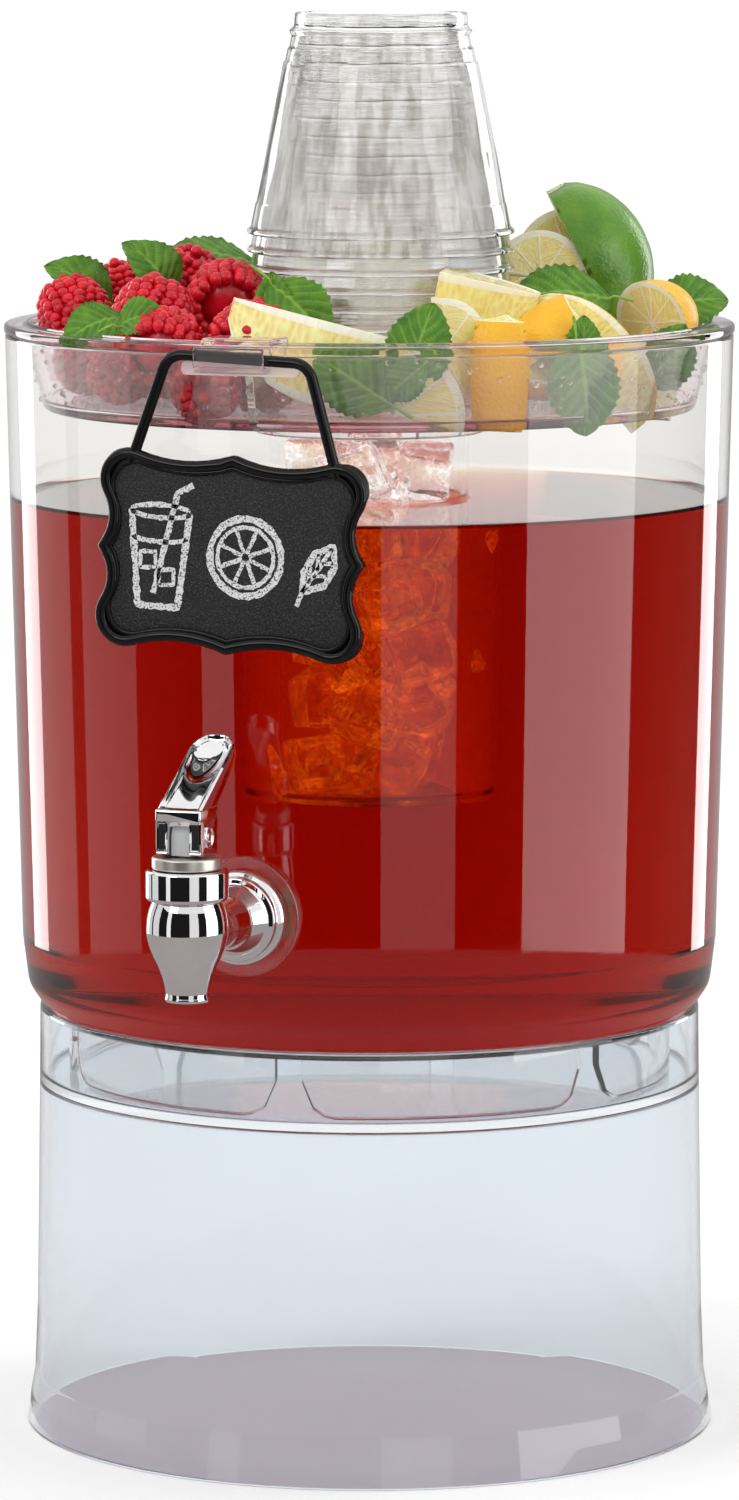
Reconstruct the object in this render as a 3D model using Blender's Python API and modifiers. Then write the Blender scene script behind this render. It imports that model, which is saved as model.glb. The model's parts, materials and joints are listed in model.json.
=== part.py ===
"""Beverage dispenser: a clear drum on a clear stand, with a garnish tray, an ice core, nested
cups, a hanging chalk sign and a lever spigot.

Sizes are in metres and +Z is up. The spigot faces -Y. The drum's axis stands behind the origin,
so that the origin is the middle of the whole object's footprint, on the floor.
"""

import math

import bmesh
import bpy
from mathutils import Matrix, Vector

GAP = 0.0003  # between pieces that touch

# Stand
STAND_TOP_Z = 0.1568
STAND_TOP_R = 0.1222
STAND_LOW_R = 0.1243
STAND_FLARE_Z = 0.018
FOOT_R = 0.1277
STAND_WALL = 0.0024
DECK_Z = 0.131
DECK_THICKNESS = 0.003
DECK_FILLET = 0.0004  # how much further the wall stands out below the deck

# Drum
DRUM_TOP_Z = 0.405
DRUM_TOP_R = 0.1336
CHAMFER_TOP_Z = 0.1822
CHAMFER_TOP_R = 0.1284
CHAMFER_LOW_Z = 0.1535
CHAMFER_LOW_R = 0.1184
DRUM_WALL = 0.0035
DRUM_FLOOR = 0.004
FOOT_TAB_R = 0.1116
FOOT_TAB_THICKNESS = 0.003
FOOT_TAB_COUNT = 6
FOOT_TAB_TURN = 5.0  # degrees from the front to the middle of the first space
FOOT_TAB_SPACE = 0.0096
FOOT_TAB_CORNER = 0.013

# Drink
TEA_TOP_Z = 0.3443
TEA_WALL_GAP = 0.0004
TEA_HOLLOW_GAP = 0.0005  # round the ice core
NUT_POCKET_GAP = 0.001

# Garnish tray
FLANGE_R = 0.134
FLANGE_Z = DRUM_TOP_Z + GAP
FLANGE_THICKNESS = 0.0032
TRAY_WALL_TOP_R = 0.1262
TRAY_WALL_LOW_R = 0.1195
TRAY_WALL = 0.0024
TRAY_LOW_Z = 0.3775
TRAY_FLOOR = 0.003
CUP_RING_R = 0.0564
CUP_RING_WALL = 0.0024
CUP_RING_TOP_Z = 0.3965
CORE_MOUTH_R = 0.0345
CORE_COLLAR_R = 0.0425
CORE_COLLAR_WALL = 0.0025
CORE_COLLAR_LOW_Z = 0.3685
DIVIDER_COUNT = 3
DIVIDER_THICKNESS = 0.0026
DIVIDER_TOP_Z = 0.402

# Ice core, hung by three lugs from the collar under the tray
CORE_TOP_Z = TRAY_LOW_Z - 0.001
CORE_LOW_Z = 0.237
CORE_TOP_R = 0.037
CORE_LOW_R = 0.0345
CORE_WALL = 0.0025
LUG_SPAN = 28.0  # degrees
LUG_THICKNESS = 0.0022
LUG_ROOT = 0.001  # how deep a lug is sunk in its wall
LUG_TURN = 60.0  # degrees from the front to the first lug
CORE_LUG_R = 0.0395
COLLAR_LUG_R = 0.0376
ICE_TOP_Z = 0.366
ICE_GAP = 0.0007

# Garnish
HEAP_INNER_R = 0.0575
HEAP_FLOOR_R = 0.1158
HEAP_OUTER_R = 0.1182
HEAP_SIDE_ANGLE = 1.9  # degrees kept clear of each divider
HEAP_CREST_INNER_R = 0.078
HEAP_CREST_OUTER_R = 0.100
HEAP_CREST_FILLET = 0.010
RASPBERRY_TOP_Z = 0.432
CITRUS_TOP_Z = 0.436
LIME_TOP_Z = 0.440

# Cups, upside down
CUP_COUNT = 10
CUP_PITCH = 0.00668
CUP_HEIGHT = 0.0806
CUP_LIP_R = 0.0491
CUP_WALL = 0.0005
CUP_BEAD = 0.0006  # how far the lip stands out
CUP_BEAD_HEIGHT = 0.0028
CUP_FOOT_R = 0.0310
CUP_NECK_R = 0.0313
CUP_SHOULDER_R = 0.0341
CUP_SHOULDER_DROP = 0.0068
CUP_NECK_RISE = 0.0022  # from the shoulder to the neck
CUP_OFFSET = (0.0040, 0.0014)

# Sign and its clip
BAR_REACH = 0.140  # from the drum's axis
BAR_Z = 0.4045
BAR_X = 0.0022
BAR_R = 0.002
LOOP_TOP_HALF = 0.0262
LOOP_LOW_HALF = 0.0385
LOOP_CORNER = 0.0075
LOOP_ROOT = 0.006  # how deep a leg is sunk in the board
BOARD_WIDTH = 0.100
BOARD_HEIGHT = 0.0705
BOARD_DROP = 0.069  # from the bar to the board's middle
BOARD_THICKNESS = 0.0036
BOARD_LOBE_R = 0.009
SCALLOP_R_LONG = 0.0555
SCALLOP_R_SHORT = 0.0165
PANEL_INSET = 0.0052
PANEL_THICKNESS = 0.0013
POCKET_DEPTH = 0.0018
SIGN_TILT = 2.5  # degrees, clockwise from the front
CLIP_WIDTH = 0.026
CLIP_THICKNESS = 0.0022
CLIP_INNER_R = 0.1186
CLIP_LEG_THICKNESS = 0.0018
CLIP_LIP_RISE = 0.004
CLIP_LEG_GAP = 0.0006
SKIRT_WIDTH = 0.044
SKIRT_HEIGHT = 0.0045
SKIRT_DROP = 0.0012
SKIRT_X = 0.0015

# Spigot
TAP_REACH = 0.1845  # drum axis to the tap's own axis
TAP_Z = 0.2064
NOZZLE_Z = 0.1845
NOZZLE_BORE_R = 0.005
CHAMBER_R = 0.008
SHANK_R = 0.008
SHANK_END = 0.110
THREAD_CLEARANCE = 0.0004
NECK_R = 0.008
NECK_BORE_R = 0.0052
TAP_FLANGE_REACH = 0.1323
GASKET_R = 0.02125
INNER_GASKET_R = 0.0145
INNER_GASKET_REACH = 0.1225
NUT_R = 0.0145
NUT_REACH = 0.1130
BONNET_R = 0.0145
BONNET_LOW_Z = 0.2200
BONNET_TOP_Z = 0.2308
BONNET_BORE_R = 0.0109
BONNET_ROOF_Z = 0.2284
RING_R = 0.0122
RING_TOP_Z = 0.2353
BONNET_THREAD_GAP = 0.0004
STEM_BORE_R = 0.0036
SEAT_DROP = 0.0024  # the valve seat below the tap's middle
SEAT_DEPTH = 0.003
SEAL_R = 0.0063
SEAL_TIP_R = 0.0048
SEAL_DROP = 0.0034
SEAL_BEVEL = 0.0015
SEAL_SOCKET = 0.003
STEM_R = 0.003
STEM_LOW_Z = 0.2045
STEM_COLLAR_R = 0.0065
STEM_COLLAR_Z = 0.213
STEM_COLLAR_THICKNESS = 0.0015
PIVOT_Z = 0.2422
PIN_R = 0.0016
PIN_HOLE_R = 0.0019
TONGUE_WIDTH = 0.0072
TONGUE_R = 0.0055
LEVER_WIDTH = 0.0162
LEVER_SLOT = 0.0084
LEVER_SLOT_TOP = 0.0062  # above the pivot
HEEL_RISE = 0.0038  # how far the heel lifts the stem for each radian of lever turn
HEEL_REACH = 0.0086
LEVER_TRAVEL = 60.0  # degrees
SPRING_R = 0.005
SPRING_WIRE_R = 0.0005
SPRING_TURNS = 4
SPRING_STEPS = 10  # for each turn

# The barrel below its bonnet: (radius, height above the tap's middle)
BARREL = [
    (0.0131, 0.0110),
    (0.0141, 0.0072),
    (0.0143, 0.0034),
    (0.0139, -0.0004),
    (0.0128, -0.0042),
    (0.0111, -0.0080),
    (0.0094, -0.0118),
    (0.0081, -0.0158),
    (0.0074, -0.0197),
]
BARREL_SHOULDER_R = 0.0121
NOZZLE_R = 0.0073

# The neck and its wall flange: (radius, reach beyond the flange's back)
NECK_END = 0.001  # short of the tap's own axis
NECK = [
    (0.0082, 0.0240),
    (0.0096, 0.0140),
    (0.0126, 0.0075),
    (0.0150, 0.0052),
    (0.0154, 0.0030),
    (0.0170, 0.0026),
    (0.0170, 0.0),
]

# The paddle's side view, (back, up) from the pivot
PADDLE = [
    (-0.0086, 0.0094),
    (-0.0078, 0.0106),
    (0.0280, 0.0316),
    (0.0318, 0.0322),
    (0.0340, 0.0298),
    (0.0326, 0.0266),
    (0.0105, 0.0080),
    (0.0086, 0.0045),
]
LEVER_BEVEL = 0.0004

# The collar is the furthest point in front, the flange is the furthest behind.
AXIS_Y = (TAP_REACH + BONNET_R - FLANGE_R) / 2

SHELL_STEPS = 40
CORE_STEPS = 28
CUP_STEPS = 20
TAP_STEPS = 24

CLEAR = ((0.93, 0.95, 0.96), 0.05, 0.0, 0.9)
STAND_CLEAR = ((0.86, 0.88, 0.93), 0.08, 0.0, 0.85)
TEA = ((0.35, 0.02, 0.004), 0.05, 0.0, 0.7)
ICE = ((0.90, 0.94, 0.96), 0.1, 0.0, 0.8)
RASPBERRY = ((0.62, 0.02, 0.06), 0.45, 0.0, 0.0)
CITRUS = ((0.93, 0.66, 0.10), 0.45, 0.0, 0.0)
LIME = ((0.33, 0.52, 0.06), 0.45, 0.0, 0.0)
BLACK = ((0.012, 0.012, 0.013), 0.25, 0.0, 0.0)
CHALKBOARD = ((0.02, 0.02, 0.02), 0.7, 0.0, 0.0)
CHROME = ((0.80, 0.80, 0.81), 0.06, 1.0, 0.0)
SATIN = ((0.72, 0.70, 0.67), 0.3, 1.0, 0.0)
STEM_PLASTIC = ((0.62, 0.62, 0.60), 0.4, 0.0, 0.0)
SILICONE = ((0.80, 0.72, 0.70), 0.4, 0.0, 0.4)
RUBBER = ((0.04, 0.04, 0.04), 0.7, 0.0, 0.0)
STEEL = ((0.60, 0.60, 0.60), 0.25, 1.0, 0.0)
NUT_PLASTIC = ((0.85, 0.85, 0.83), 0.4, 0.0, 0.0)


# ---------------------------------------------------------------- helpers


def clear_scene():
    for obj in list(bpy.data.objects):
        bpy.data.objects.remove(obj, do_unlink=True)


def new_collection(name):
    collection = bpy.data.collections.new(name)
    bpy.context.scene.collection.children.link(collection)
    return collection


def anchor(name, location, parent=None):
    """An empty that pieces hang from."""
    empty = bpy.data.objects.new(name, None)
    empty.location = location
    empty.parent = parent
    PARTS.objects.link(empty)
    return empty


def finish(name, look):
    colour, roughness, metallic, transmission = look
    material = bpy.data.materials.new(name)
    material.use_nodes = True
    shader = material.node_tree.nodes["Principled BSDF"]
    shader.inputs["Base Color"].default_value = (*colour, 1.0)
    shader.inputs["Roughness"].default_value = roughness
    shader.inputs["Metallic"].default_value = metallic
    shader.inputs["Transmission Weight"].default_value = transmission
    return material


def place(obj, parent, location=(0, 0, 0), rotation=(0, 0, 0)):
    obj.parent = parent
    obj.location = location
    obj.rotation_euler = [math.radians(angle) for angle in rotation]
    return obj


def part(obj, look, parent, location=(0, 0, 0), rotation=(0, 0, 0)):
    """Makes a shape a sub-part of the dispenser, with its own material."""
    PARTS.objects.link(obj)
    obj.data.materials.clear()
    obj.data.materials.append(finish(obj.name, look))
    return place(obj, parent, location, rotation)


def helper(obj, parent, location=(0, 0, 0), rotation=(0, 0, 0)):
    """Makes a shape a Boolean operand, left out of the model."""
    CUTTERS.objects.link(obj)
    obj.hide_render = True
    obj.display_type = "WIRE"
    return place(obj, parent, location, rotation)


def boolean(obj, operation, *operands):
    for operand in operands:
        modifier = obj.modifiers.new(operation.lower(), "BOOLEAN")
        modifier.operation = operation
        modifier.object = operand


def filleted(corners, steps=2):
    """(r, z) points of a profile, from corners (r, z) or (r, z, fillet radius)."""
    points = []
    for i, corner in enumerate(corners):
        here = Vector(corner[:2])
        if len(corner) == 2:
            points.append(tuple(here))
            continue
        back = (Vector(corners[i - 1][:2]) - here).normalized()
        ahead = (Vector(corners[(i + 1) % len(corners)][:2]) - here).normalized()
        half = back.angle(ahead) / 2
        centre = here + (back + ahead).normalized() * corner[2] / math.sin(half)
        start = here + back * corner[2] / math.tan(half) - centre
        end = here + ahead * corner[2] / math.tan(half) - centre
        turn = math.atan2(start.x * end.y - start.y * end.x, start.dot(end))
        for step in range(steps + 1):
            spoke = Matrix.Rotation(turn * step / steps, 2) @ start
            points.append(tuple(centre + spoke))
    return points


def turned(name, profile, steps, closed=False):
    """A profile of (r, z) points turned about Z; it runs down the outer side."""
    mesh = bpy.data.meshes.new(name)
    last = len(profile) if closed else len(profile) - 1
    edges = [(i, (i + 1) % len(profile)) for i in range(last)]
    mesh.from_pydata([(r, 0, z) for r, z in profile], edges, [])
    obj = bpy.data.objects.new(name, mesh)
    screw = obj.modifiers.new("turn", "SCREW")
    screw.steps = steps
    screw.render_steps = steps
    screw.use_merge_vertices = True
    screw.merge_threshold = 0.00001
    screw.use_smooth_shade = True
    return obj


def from_bmesh(name, shape):
    mesh = bpy.data.meshes.new(name)
    shape.to_mesh(mesh)
    shape.free()
    return bpy.data.objects.new(name, mesh)


def block(name, size, centre=(0, 0, 0)):
    shape = bmesh.new()
    bmesh.ops.create_cube(shape, size=1, matrix=Matrix.Translation(centre) @ Matrix.Diagonal((*size, 1)))
    return from_bmesh(name, shape)


def rod(name, radius, start, end, steps=TAP_STEPS):
    """A cylinder about Z between two heights."""
    shape = bmesh.new()
    middle = Matrix.Translation((0, 0, (start + end) / 2))
    bmesh.ops.create_cone(
        shape, cap_ends=True, segments=steps, radius1=radius, radius2=radius, depth=end - start, matrix=middle
    )
    obj = from_bmesh(name, shape)
    obj.data.shade_smooth()
    obj.data.set_sharp_from_angle(angle=math.radians(40))
    return obj


def as_mesh(curve_object):
    """The curve's evaluated mesh as an object of the same name, with its caps welded on."""
    bpy.context.scene.collection.objects.link(curve_object)
    graph = bpy.context.evaluated_depsgraph_get()
    mesh = bpy.data.meshes.new_from_object(curve_object.evaluated_get(graph))
    shape = bmesh.new()
    shape.from_mesh(mesh)
    bmesh.ops.remove_doubles(shape, verts=shape.verts, dist=0.000001)
    bmesh.ops.recalc_face_normals(shape, faces=shape.faces)
    shape.to_mesh(mesh)
    shape.free()
    name = curve_object.name
    bpy.data.objects.remove(curve_object)
    mesh.name = name
    return bpy.data.objects.new(name, mesh)


def plate(name, outline, thickness):
    """A flat outline in the local XY plane, thickened evenly to both sides."""
    curve = bpy.data.curves.new(name, "CURVE")
    curve.dimensions = "2D"
    curve.fill_mode = "BOTH"
    curve.extrude = thickness / 2
    spline = curve.splines.new("POLY")
    spline.points.add(len(outline) - 1)
    for point, (x, y) in zip(spline.points, outline):
        point.co = (x, y, 0, 1)
    spline.use_cyclic_u = True
    return as_mesh(bpy.data.objects.new(name, curve))


def wire(name, path, radius, resolution=2):
    """A round wire along the path, with flat ends."""
    curve = bpy.data.curves.new(name, "CURVE")
    curve.dimensions = "3D"
    curve.bevel_depth = radius
    curve.bevel_resolution = resolution
    curve.use_fill_caps = True
    spline = curve.splines.new("POLY")
    spline.points.add(len(path) - 1)
    for point, (x, y, z) in zip(spline.points, path):
        point.co = (x, y, z, 1)
    return as_mesh(bpy.data.objects.new(name, curve))


def front_angle(azimuth):
    """The XY angle, in radians, of an azimuth in degrees from the front towards +X."""
    return math.radians(azimuth - 90)


def sector(inner, outer, start, end, steps):
    """Outline of a piece of a ring between two azimuths; an inner radius of 0 gives a wedge."""
    angles = [front_angle(start + (end - start) * i / steps) for i in range(steps + 1)]
    outside = [(outer * math.cos(a), outer * math.sin(a)) for a in angles]
    if not inner:
        return [(0, 0), *outside]
    return outside + [(inner * math.cos(a), inner * math.sin(a)) for a in reversed(angles)]


# ---------------------------------------------------------------- stand and drum


def make_stand():
    inner_top = STAND_TOP_R - STAND_WALL
    corners = [
        (0, DECK_Z),
        (inner_top, DECK_Z, 0.003),
        (inner_top, STAND_TOP_Z, 0.0006),
        (STAND_TOP_R, STAND_TOP_Z, 0.0014),
        (STAND_LOW_R, STAND_FLARE_Z, 0.012),
        (FOOT_R, 0),
        (FOOT_R - STAND_WALL, 0),
        (STAND_LOW_R - STAND_WALL, STAND_FLARE_Z, 0.012),
        (inner_top + DECK_FILLET, DECK_Z - DECK_THICKNESS, 0.002),
        (0, DECK_Z - DECK_THICKNESS),
    ]
    stand = turned("stand_shell", filleted(corners), SHELL_STEPS)
    part(stand, STAND_CLEAR, DRUM_AXIS)


def drum_wall_r(z):
    """The drum's outer radius at a height above its chamfer."""
    draft = (DRUM_TOP_R - CHAMFER_TOP_R) / (DRUM_TOP_Z - CHAMFER_TOP_Z)
    return CHAMFER_TOP_R + draft * (z - CHAMFER_TOP_Z)


def drum_inside(inset, floor_z, top_z):
    """Corners of the drum's inside, from the floor's middle up to top_z, drawn in by inset."""
    chamfer_lean = math.atan2(CHAMFER_TOP_R - CHAMFER_LOW_R, CHAMFER_TOP_Z - CHAMFER_LOW_Z)
    inward = inset / math.cos(chamfer_lean)
    floor_r = CHAMFER_LOW_R + (floor_z - CHAMFER_LOW_Z) * math.tan(chamfer_lean) - inward
    return [
        (0, floor_z),
        (floor_r, floor_z, 0.003),
        (CHAMFER_TOP_R - inset, CHAMFER_TOP_Z + 0.0006, 0.006),
        (drum_wall_r(top_z) - inset, top_z),
    ]


def make_foot_tab_slots():
    """Six radial cutters that leave round corners on the tabs on each side."""
    half = FOOT_TAB_SPACE / 2
    low = DECK_Z - 0.004
    tab_low = DECK_Z + GAP
    corner = FOOT_TAB_CORNER
    turns = [math.radians(angle) for angle in (90, 67.5, 45, 22.5, 0)]
    side = [
        (half + corner * (1 - math.cos(a)), tab_low + corner * (1 - math.sin(a))) for a in reversed(turns)
    ]
    right = [(half, CHAMFER_LOW_Z - GAP), *side, (half + corner, low)]
    outline = right + [(-x, z) for x, z in reversed(right)]
    slots = []
    for index in range(FOOT_TAB_COUNT):
        slot = plate(f"foot_slot_{index + 1}", outline, 0.02)
        azimuth = FOOT_TAB_TURN + index * 360 / FOOT_TAB_COUNT
        angle = front_angle(azimuth)
        spot = (FOOT_TAB_R * math.cos(angle), FOOT_TAB_R * math.sin(angle), 0)
        slots.append(helper(slot, DRUM_AXIS, spot, (90, 0, azimuth)))
    return slots


def make_drum():
    inner_top = DRUM_TOP_R - DRUM_WALL
    corners = drum_inside(DRUM_WALL, CHAMFER_LOW_Z + DRUM_FLOOR, DRUM_TOP_Z)[:-1] + [
        (inner_top, DRUM_TOP_Z, 0.0006),
        (DRUM_TOP_R, DRUM_TOP_Z, 0.0006),
        (CHAMFER_TOP_R, CHAMFER_TOP_Z, 0.008),
        (CHAMFER_LOW_R, CHAMFER_LOW_Z, 0.003),
        (0, CHAMFER_LOW_Z),
    ]
    drum = turned("drum_tank", filleted(corners), SHELL_STEPS)
    tab_low = DECK_Z + GAP
    tab_high = CHAMFER_LOW_Z + DRUM_FLOOR / 2
    tab_inner = FOOT_TAB_R - FOOT_TAB_THICKNESS
    tabs = turned(
        "foot_tabs",
        [(FOOT_TAB_R, tab_high), (FOOT_TAB_R, tab_low), (tab_inner, tab_low), (tab_inner, tab_high)],
        SHELL_STEPS,
        closed=True,
    )
    helper(tabs, DRUM_AXIS)
    boolean(tabs, "DIFFERENCE", *make_foot_tab_slots())
    hole = helper(
        rod("tap_hole", SHANK_R + THREAD_CLEARANCE, SHANK_END, TAP_REACH),
        DRUM_AXIS,
        (0, 0, TAP_Z),
        (90, 0, 0),
    )
    boolean(drum, "UNION", tabs)
    boolean(drum, "DIFFERENCE", hole)
    part(drum, CLEAR, DRUM_AXIS)


def make_tea():
    """The drink, with a hollow for the ice core and a pocket for the tap's nut."""
    hollow_r = CORE_TOP_R + TEA_HOLLOW_GAP
    hollow_z = CORE_LOW_Z - 2 * TEA_HOLLOW_GAP
    inset = DRUM_WALL + TEA_WALL_GAP
    wall = drum_inside(inset, CHAMFER_LOW_Z + DRUM_FLOOR + TEA_WALL_GAP, TEA_TOP_Z)
    corners = [(0, hollow_z), (hollow_r, hollow_z), (hollow_r, TEA_TOP_Z), *reversed(wall)]
    tea = turned("tea", filleted(corners), SHELL_STEPS)
    pocket = rod("nut_pocket", NUT_R + NUT_POCKET_GAP, SHANK_END - NUT_POCKET_GAP, FLANGE_R)
    helper(pocket, DRUM_AXIS, (0, 0, TAP_Z), (90, 0, 0))
    boolean(tea, "DIFFERENCE", pocket)
    part(tea, TEA, DRUM_AXIS)


# ---------------------------------------------------------------- tray, core and garnish


def make_lugs(name, inner, outer, low):
    """Three bayonet lugs, each a short piece of a ring, as Boolean operands."""
    lugs = []
    for index in range(3):
        middle = LUG_TURN + index * 120
        outline = sector(inner, outer, middle - LUG_SPAN / 2, middle + LUG_SPAN / 2, 2)
        lug = plate(f"{name}_{index + 1}", outline, LUG_THICKNESS)
        lugs.append(helper(lug, DRUM_AXIS, (0, 0, low + LUG_THICKNESS / 2)))
    return lugs


def make_dividers():
    """Upright walls from the cup ring out into the tray's wall."""
    low = TRAY_LOW_Z + TRAY_FLOOR / 2
    lean = (TRAY_WALL_TOP_R - TRAY_WALL_LOW_R) / (FLANGE_Z - TRAY_LOW_Z)
    wall_middle = TRAY_WALL_LOW_R - TRAY_WALL / 2
    ring_middle = CUP_RING_R - CUP_RING_WALL / 2
    ring_low = CUP_RING_TOP_Z - 0.002
    outline = [
        (ring_middle, low),
        (wall_middle + lean * (low - TRAY_LOW_Z), low),
        (wall_middle + lean * (DIVIDER_TOP_Z - TRAY_LOW_Z), DIVIDER_TOP_Z),
        (CUP_RING_R + 0.010, DIVIDER_TOP_Z),
        (ring_middle, ring_low),
    ]
    dividers = []
    for index in range(DIVIDER_COUNT):
        divider = plate(f"divider_{index + 1}", outline, DIVIDER_THICKNESS)
        azimuth = index * 360 / DIVIDER_COUNT
        dividers.append(helper(divider, DRUM_AXIS, (0, 0, 0), (90, 0, azimuth - 90)))
    return dividers


def make_tray():
    floor_z = TRAY_LOW_Z + TRAY_FLOOR
    top_z = FLANGE_Z + FLANGE_THICKNESS
    collar_inner = CORE_COLLAR_R - CORE_COLLAR_WALL
    corners = [
        (FLANGE_R, top_z, 0.001),
        (FLANGE_R, FLANGE_Z),
        (TRAY_WALL_TOP_R, FLANGE_Z, 0.001),
        (TRAY_WALL_LOW_R, TRAY_LOW_Z, 0.002),
        (CORE_COLLAR_R, TRAY_LOW_Z),
        (CORE_COLLAR_R, CORE_COLLAR_LOW_Z),
        (collar_inner, CORE_COLLAR_LOW_Z),
        (collar_inner, TRAY_LOW_Z),
        (CORE_MOUTH_R, TRAY_LOW_Z),
        (CORE_MOUTH_R, floor_z),
        (CUP_RING_R - CUP_RING_WALL, floor_z),
        (CUP_RING_R - CUP_RING_WALL, CUP_RING_TOP_Z),
        (CUP_RING_R, CUP_RING_TOP_Z),
        (CUP_RING_R, floor_z),
        (TRAY_WALL_LOW_R - TRAY_WALL, floor_z, 0.0015),
        (TRAY_WALL_TOP_R - TRAY_WALL, top_z, 0.002),
    ]
    tray = turned("garnish_tray", filleted(corners), SHELL_STEPS, closed=True)
    collar_lugs = make_lugs("collar_lug", COLLAR_LUG_R, CORE_COLLAR_R - LUG_ROOT, CORE_COLLAR_LOW_Z)
    boolean(tray, "UNION", *collar_lugs, *make_dividers())
    part(tray, CLEAR, DRUM_AXIS)


def make_core():
    corners = [
        (0, CORE_LOW_Z + CORE_WALL),
        (CORE_LOW_R - CORE_WALL, CORE_LOW_Z + CORE_WALL, 0.002),
        (CORE_TOP_R - CORE_WALL, CORE_TOP_Z),
        (CORE_TOP_R, CORE_TOP_Z),
        (CORE_LOW_R, CORE_LOW_Z, 0.004),
        (0, CORE_LOW_Z),
    ]
    core = turned("ice_core", filleted(corners), CORE_STEPS)
    lug_low = CORE_COLLAR_LOW_Z + LUG_THICKNESS + GAP
    boolean(core, "UNION", *make_lugs("core_lug", CORE_TOP_R - LUG_ROOT, CORE_LUG_R, lug_low))
    part(core, CLEAR, DRUM_AXIS)


def make_ice():
    """The ice that fills the core, as one plain solid."""
    low = CORE_LOW_Z + CORE_WALL + ICE_GAP
    slack = CORE_WALL + ICE_GAP
    corners = [
        (0, ICE_TOP_Z),
        (CORE_TOP_R - slack, ICE_TOP_Z, 0.004),
        (CORE_LOW_R - slack, low, 0.003),
        (0, low),
    ]
    part(turned("ice_fill", filleted(corners), CORE_STEPS), ICE, DRUM_AXIS)


def make_heap(name, look, start, top_z):
    """One compartment's garnish as a plain domed heap, from an azimuth onwards."""
    floor_z = TRAY_LOW_Z + TRAY_FLOOR + GAP
    corners = [
        (HEAP_INNER_R, top_z - 0.008, 0.003),
        (HEAP_CREST_INNER_R, top_z, HEAP_CREST_FILLET),
        (HEAP_CREST_OUTER_R, top_z - 0.002, HEAP_CREST_FILLET),
        (HEAP_OUTER_R, top_z - 0.020, 0.004),
        (HEAP_OUTER_R, floor_z + 0.010),
        (HEAP_FLOOR_R, floor_z),
        (HEAP_INNER_R, floor_z),
    ]
    heap = turned(name, filleted(corners, steps=1), SHELL_STEPS, closed=True)
    end = start + 360 / DIVIDER_COUNT
    outline = sector(0, 0.2, start + HEAP_SIDE_ANGLE, end - HEAP_SIDE_ANGLE, 6)
    wedge = helper(plate(name + "_wedge", outline, 0.2), DRUM_AXIS, (0, 0, floor_z))
    boolean(heap, "INTERSECT", wedge)
    part(heap, look, DRUM_AXIS)


# ---------------------------------------------------------------- cups


def make_cups():
    """Nested cups, standing on their lips over the mouth of the ice core."""
    shoulder_z = CUP_HEIGHT - CUP_SHOULDER_DROP
    neck_z = shoulder_z + CUP_NECK_RISE
    side_r = CUP_LIP_R - CUP_BEAD
    corners = [
        (0, CUP_HEIGHT),
        (CUP_FOOT_R, CUP_HEIGHT),
        (CUP_NECK_R, neck_z),
        (CUP_SHOULDER_R, shoulder_z),
        (side_r, CUP_BEAD_HEIGHT + 0.0004),
        (CUP_LIP_R, CUP_BEAD_HEIGHT),
        (CUP_LIP_R, 0),
        (side_r, 0),
        (CUP_SHOULDER_R - CUP_WALL, shoulder_z - CUP_WALL),
        (CUP_NECK_R - CUP_WALL, neck_z - CUP_WALL),
        (CUP_FOOT_R - CUP_WALL, CUP_HEIGHT - CUP_WALL),
        (0, CUP_HEIGHT - CUP_WALL),
    ]
    first = turned("cup_01", corners, CUP_STEPS)
    low = TRAY_LOW_Z + TRAY_FLOOR + GAP
    part(first, CLEAR, DRUM_AXIS, (*CUP_OFFSET, low))
    for index in range(1, CUP_COUNT):
        cup = first.copy()
        cup.name = f"cup_{index + 1:02d}"
        cup.data = first.data.copy()
        part(cup, CLEAR, DRUM_AXIS, (*CUP_OFFSET, low + index * CUP_PITCH))


# ---------------------------------------------------------------- sign


def scallop(cusp, lobe, radius, steps):
    """Points on the hollow arc from a cusp to the round corner lobe that it meets smoothly."""
    cusp = Vector(cusp)
    lobe = Vector(lobe)
    line = lobe - cusp
    along = (radius**2 - (radius + BOARD_LOBE_R) ** 2 + line.length_squared) / (2 * line.length)
    across = math.sqrt(radius**2 - along**2)
    unit = line.normalized()
    options = [cusp + unit * along + Vector((-unit.y, unit.x)) * side * across for side in (1, -1)]
    centre = max(options, key=lambda option: option.length)
    touch = centre + (lobe - centre).normalized() * radius
    start = cusp - centre
    end = touch - centre
    turn = math.atan2(start.x * end.y - start.y * end.x, start.dot(end))
    return [tuple(centre + Matrix.Rotation(turn * i / steps, 2) @ start) for i in range(steps + 1)]


def board_outline(inset, steps=3):
    """The board's outline: four round corners, joined by pairs of hollow arcs that meet in cusps."""
    half_width = BOARD_WIDTH / 2 - inset
    half_height = BOARD_HEIGHT / 2 - inset
    lobe = (half_width - BOARD_LOBE_R, half_height - BOARD_LOBE_R)
    upper = scallop((0, half_height), lobe, SCALLOP_R_LONG, steps)
    side = scallop((half_width, 0), lobe, SCALLOP_R_SHORT, steps)
    start = Vector(upper[-1]) - Vector(lobe)
    end = Vector(side[-1]) - Vector(lobe)
    turn = -(math.tau - start.angle(end)) if start.angle(end) < math.pi / 3 else -start.angle(end)
    corner = [
        tuple(Vector(lobe) + Matrix.Rotation(turn * i / (2 * steps), 2) @ start) for i in range(1, 2 * steps)
    ]
    quarter = upper + corner + side[::-1]
    right = quarter + [(x, -y) for x, y in reversed(quarter[:-1])]
    return right + [(-x, y) for x, y in reversed(right[1:-1])]


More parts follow.
